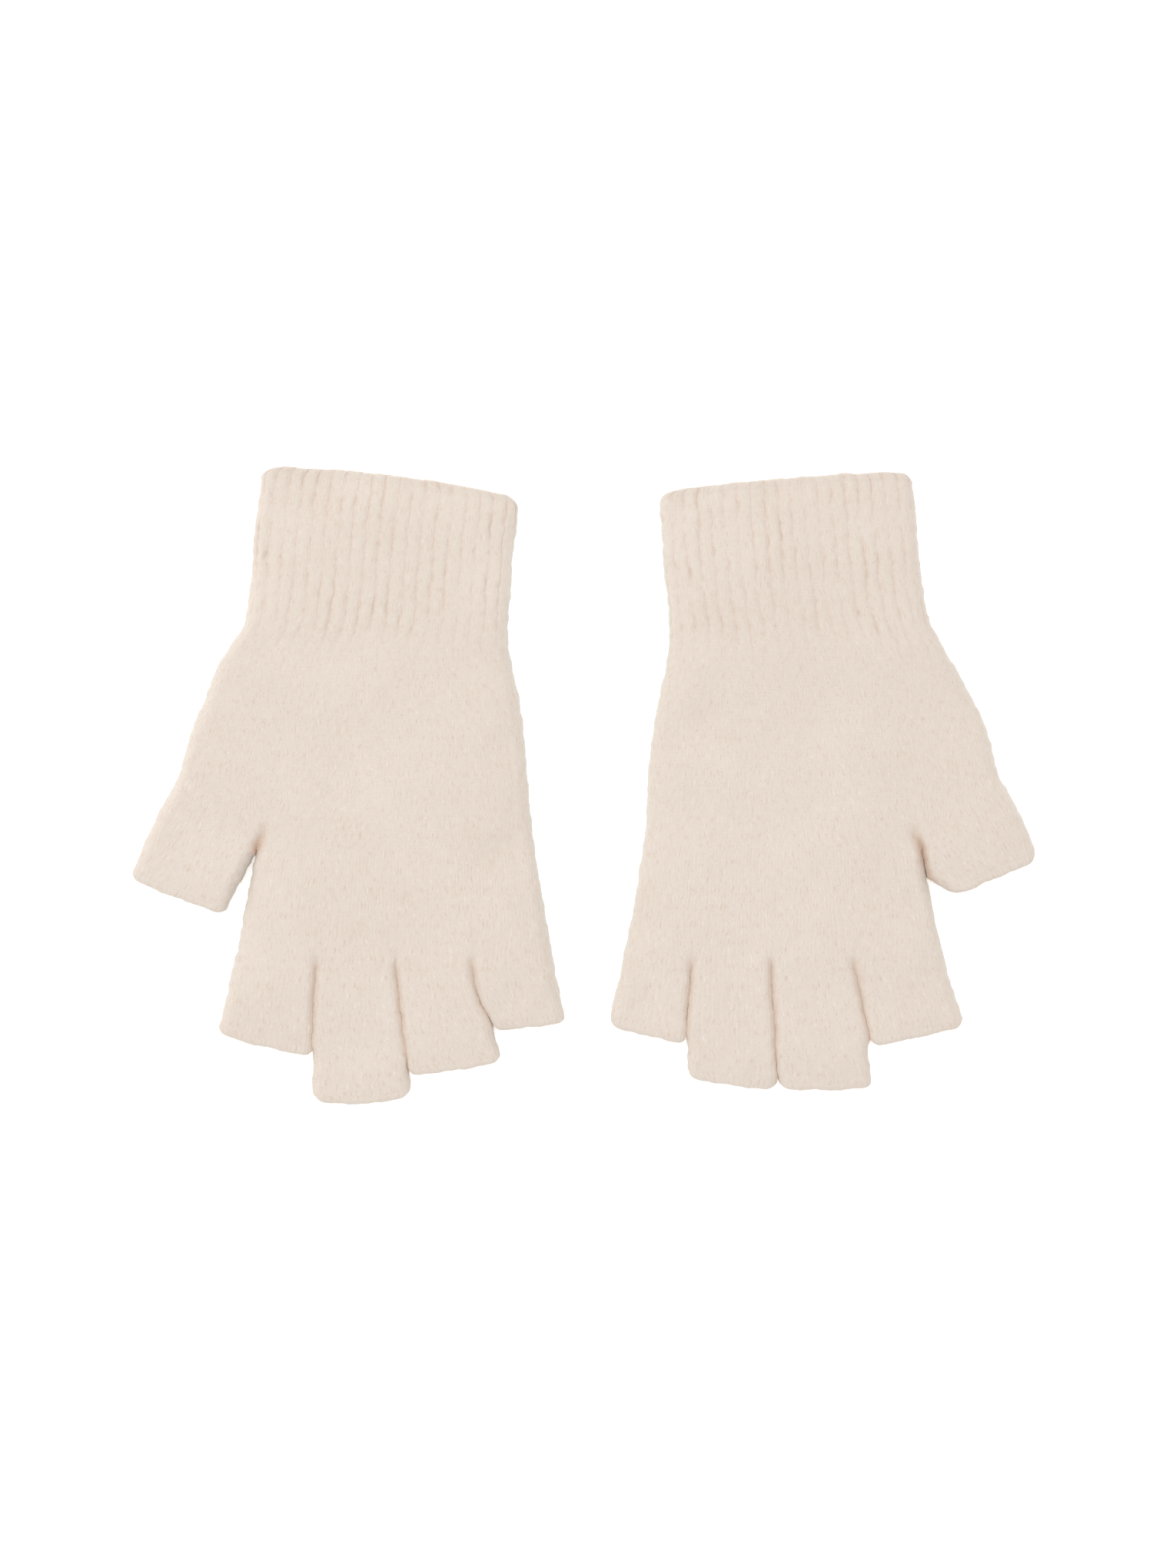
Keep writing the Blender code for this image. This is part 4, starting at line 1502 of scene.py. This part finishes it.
def finish_of(name):
    if "welt" in name:
        return "welt"
    return "rib_knit" if name.endswith("cuff_knit") else "plain_knit"


def dress(obj, seed):
    """Raises the relief on a piece and grows its nap, which is a piece of its own."""
    finish = finish_of(obj.name)
    obj.data = grow(obj, relief, {**RELIEF, "Wale height": WALE_HEIGHTS[finish], "Finish": finishes[finish]})
    fuzz = grow(obj, nap, {**NAP, "Seed": seed, "Finish": finishes["nap"]})
    return add_object(obj.name.replace("_knit", "").replace("_edge", "") + "_nap", fuzz)


seed = 1
for side, sections in gloves.items():
    for section in sections:
        section.nap = dress(section.knit, seed)
        section.welt_nap = dress(section.welt, seed + 100) if section.welt else None
        seed += 1
    count = sum(len(s.nap.data.polygons) for s in sections) // FIBRE_FACES
    print(side, "glove has", count, "fibres besides the welts'")

# %% [markdown]
# ## Where the cloth meets the joints
# The cuff, the thumb and the fingers each bend away from the hand. For each of them the line is worked
# out over which its cloth would turn, a little more than a centimetre from the row that it shares with
# the palm; the pieces themselves are only fixed where they lie, and those of the palm ride on the hand.

# %% Ride, and the bend lines
BEND_LENGTH = {"cuff": 14 * MM, "thumb": 12 * MM, "finger": 13 * MM}


def bend_line(section, layout):
    """Where a section starts to follow its own body, and where it follows it wholly."""
    side, turn = layout.side, layout.turn
    if section.name.endswith("cuff"):
        start, way, length = joint_spots[f"{side}_wrist_bend"], np.array((0, 1, 0)), BEND_LENGTH["cuff"]
    elif section.name.endswith("thumb"):
        run = layout.crotch - layout.thumb_out
        way = np.array((run[1] * turn, -run[0], 0)) / np.linalg.norm(run)
        middle = (layout.crotch + layout.thumb_out) / 2
        start, length = np.array((middle[0] * turn, middle[1], 0)), BEND_LENGTH["thumb"]
    else:
        name = section.name.replace("_finger", "_bend")
        start, way, length = joint_spots[name], np.array((0, -1, 0)), BEND_LENGTH["finger"]
    return tuple(start), tuple(start + way * length)


for side, sections in gloves.items():
    for section in sections:
        for piece in filter(None, (section.knit, section.nap, section.welt, section.welt_nap)):
            if "palm" in section.name:
                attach(piece, f"{side}_hand")
            else:
                start, end = bend_line(section, layouts[side])
                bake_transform(piece)
        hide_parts(section.name)
        if section.welt:
            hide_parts(f"{section.name}_welt")
print("bends take up", {part: round(length / MM) for part, length in BEND_LENGTH.items()}, "mm of cloth")

# %% [markdown]
# ## Elastic yarns
# Two thin covered elastic yarns are laid in behind the ribs and hold the cuff to the wrist. They can be
# seen only by looking into the cuff. Each is a round yarn that follows the inside of the knit.

# %% Elastics
YARN_RADIUS = 0.32 * MM
YARN_AROUND = 8                  # points round the yarn
YARN_STEP = 3                    # the yarn takes every third column of the cuff's inside
YARN_CLEAR = 1.1                 # radii from the yarn's middle to the knit


def elastic_material():
    material, tree, place = new_material("elastic yarn")
    wrap = tree.node("ShaderNodeTexWave", {"bands_direction": "X"},
                     {"Vector": place, "Scale": 260.0, "Distortion": 1.5})[0]
    colour = tint(tree, wrap, (0.80, 0.74, 0.68), (0.88, 0.84, 0.78))
    bump = tree.node("ShaderNodeBump", {}, {"Strength": 0.4, "Distance": 0.2 * MM, "Height": wrap})[0]
    constants = {"Roughness": 0.7, "Sheen Weight": 0.15}
    return principled(material, constants, {"Base Color": colour, "Normal": bump})


def elastic_yarn(name, cuff, turn):
    """A yarn round the inside of the cuff, on the row nearest to its packed place."""
    low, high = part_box(name)
    aim = (low[1] + high[1]) / 2
    row = int(np.argmin(abs(cuff.inner[..., 1].mean(axis=1) - aim)))
    ring = cuff.inner[row][::YARN_STEP]
    inward = np.where(ring[:, 2] > ring[:, 2].mean(), -1, 1)[:, None]
    path = ring + inward * np.array((0, 0, YARN_RADIUS * YARN_CLEAR))
    ahead = np.roll(path, -1, axis=0) - np.roll(path, 1, axis=0)
    ahead /= np.linalg.norm(ahead, axis=1, keepdims=True)
    side_way = np.array((0.0, 1.0, 0.0))
    up = np.cross(ahead, side_way)
    angles = [-2 * math.pi * step / YARN_AROUND for step in range(YARN_AROUND)]
    rings = [path + YARN_RADIUS * (math.cos(a) * up + math.sin(a) * side_way) for a in angles]
    values = {"relief": np.zeros((YARN_AROUND, len(path)))}
    obj = loft(f"{name}_yarn", rings, [], turn, np.arange(float(YARN_AROUND)), values)
    obj.data.materials.append(elastic)
    return obj


elastic = elastic_material()
for side, sections in gloves.items():
    for level in ("lower", "upper"):
        node = f"{side}_cuff_elastic_{level}"
        yarn = elastic_yarn(node, sections[0], TURNS[side])
        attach(yarn, f"{side}_cuff")
        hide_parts(node)
        print(yarn.name, "has", len(yarn.data.polygons), "faces")

# %% [markdown]
# ## The cloth
# The knit is a sheet that was never cut: it came off the needles as a tube. Its flat size would be the
# circumference of the tube and its length.

# %% [markdown]
# ## Table, light and camera
# The gloves lie on a plain, very pale table that glows faintly, like the lit acrylic that studios use to
# wash out shadows. A wide soft light from above leaves almost no shadow, and a weaker one from the
# upper left gives the folds a little shape. The camera looks straight down.

# %% Stage
TABLE_GLOW = 0.45
TABLE_REACH = 3.0                # metres from the middle to each side
WORLD_STRENGTH = 0.8


def table():
    material, tree, place = new_material("pale table")
    colour = tint(tree, tree.noise(place, 30.0), (0.94, 0.94, 0.94), (0.95, 0.95, 0.95))
    constants = {"Roughness": 0.9, "Specular IOR Level": 0.1, "Emission Strength": TABLE_GLOW,
                 "Emission Color": (1, 1, 1, 1)}
    mesh = bpy.data.meshes.new("table")
    ways = ((-1, -1), (1, -1), (1, 1), (-1, 1))
    mesh.from_pydata([(x * TABLE_REACH, y * TABLE_REACH, 0) for x, y in ways], [], [(0, 1, 2, 3)])
    mesh.materials.append(principled(material, constants, {"Base Color": colour}))
    return add_object("table", mesh)


def soft_box(name, place, size, power):
    """A square light that points at the middle of the table."""
    light = bpy.data.lights.new(name, "AREA")
    light.shape, light.size, light.energy = "SQUARE", size, power
    obj = add_object(name, light)
    obj.location = place
    obj.rotation_euler = (-Vector(place)).to_track_quat("-Z", "Y").to_euler()


table()
soft_box("soft box overhead", (-0.3, 0.4, 1.6), 1.8, 12)
soft_box("soft box left", (-1.4, 0.9, 0.9), 0.9, 3)
world = bpy.data.worlds.new("studio")
world.use_nodes = True
world.node_tree.nodes["Background"].inputs["Color"].default_value = (1.0, 1.0, 1.0, 1)
world.node_tree.nodes["Background"].inputs["Strength"].default_value = WORLD_STRENGTH
bpy.context.scene.world = world
bpy.context.scene.view_settings.view_transform = "Standard"

# %% Camera
VIEW_HEIGHT = 0.441              # what the camera takes in, top to bottom, at the height of the cloth
VIEW_MIDDLE = (-0.00205, 0.0003)
CLOTH_TOP = 0.0095
LENS, SENSOR = 100.0, 36.0

camera = add_object("camera", bpy.data.cameras.new("camera"))
camera.data.lens = LENS
camera.data.sensor_width = SENSOR
camera.data.sensor_fit = "AUTO"
distance = VIEW_HEIGHT * LENS / SENSOR
camera.location = (*VIEW_MIDDLE, CLOTH_TOP / 2 + distance)
bpy.context.scene.camera = camera
print("the camera is", round(distance, 3), "m above the cloth")
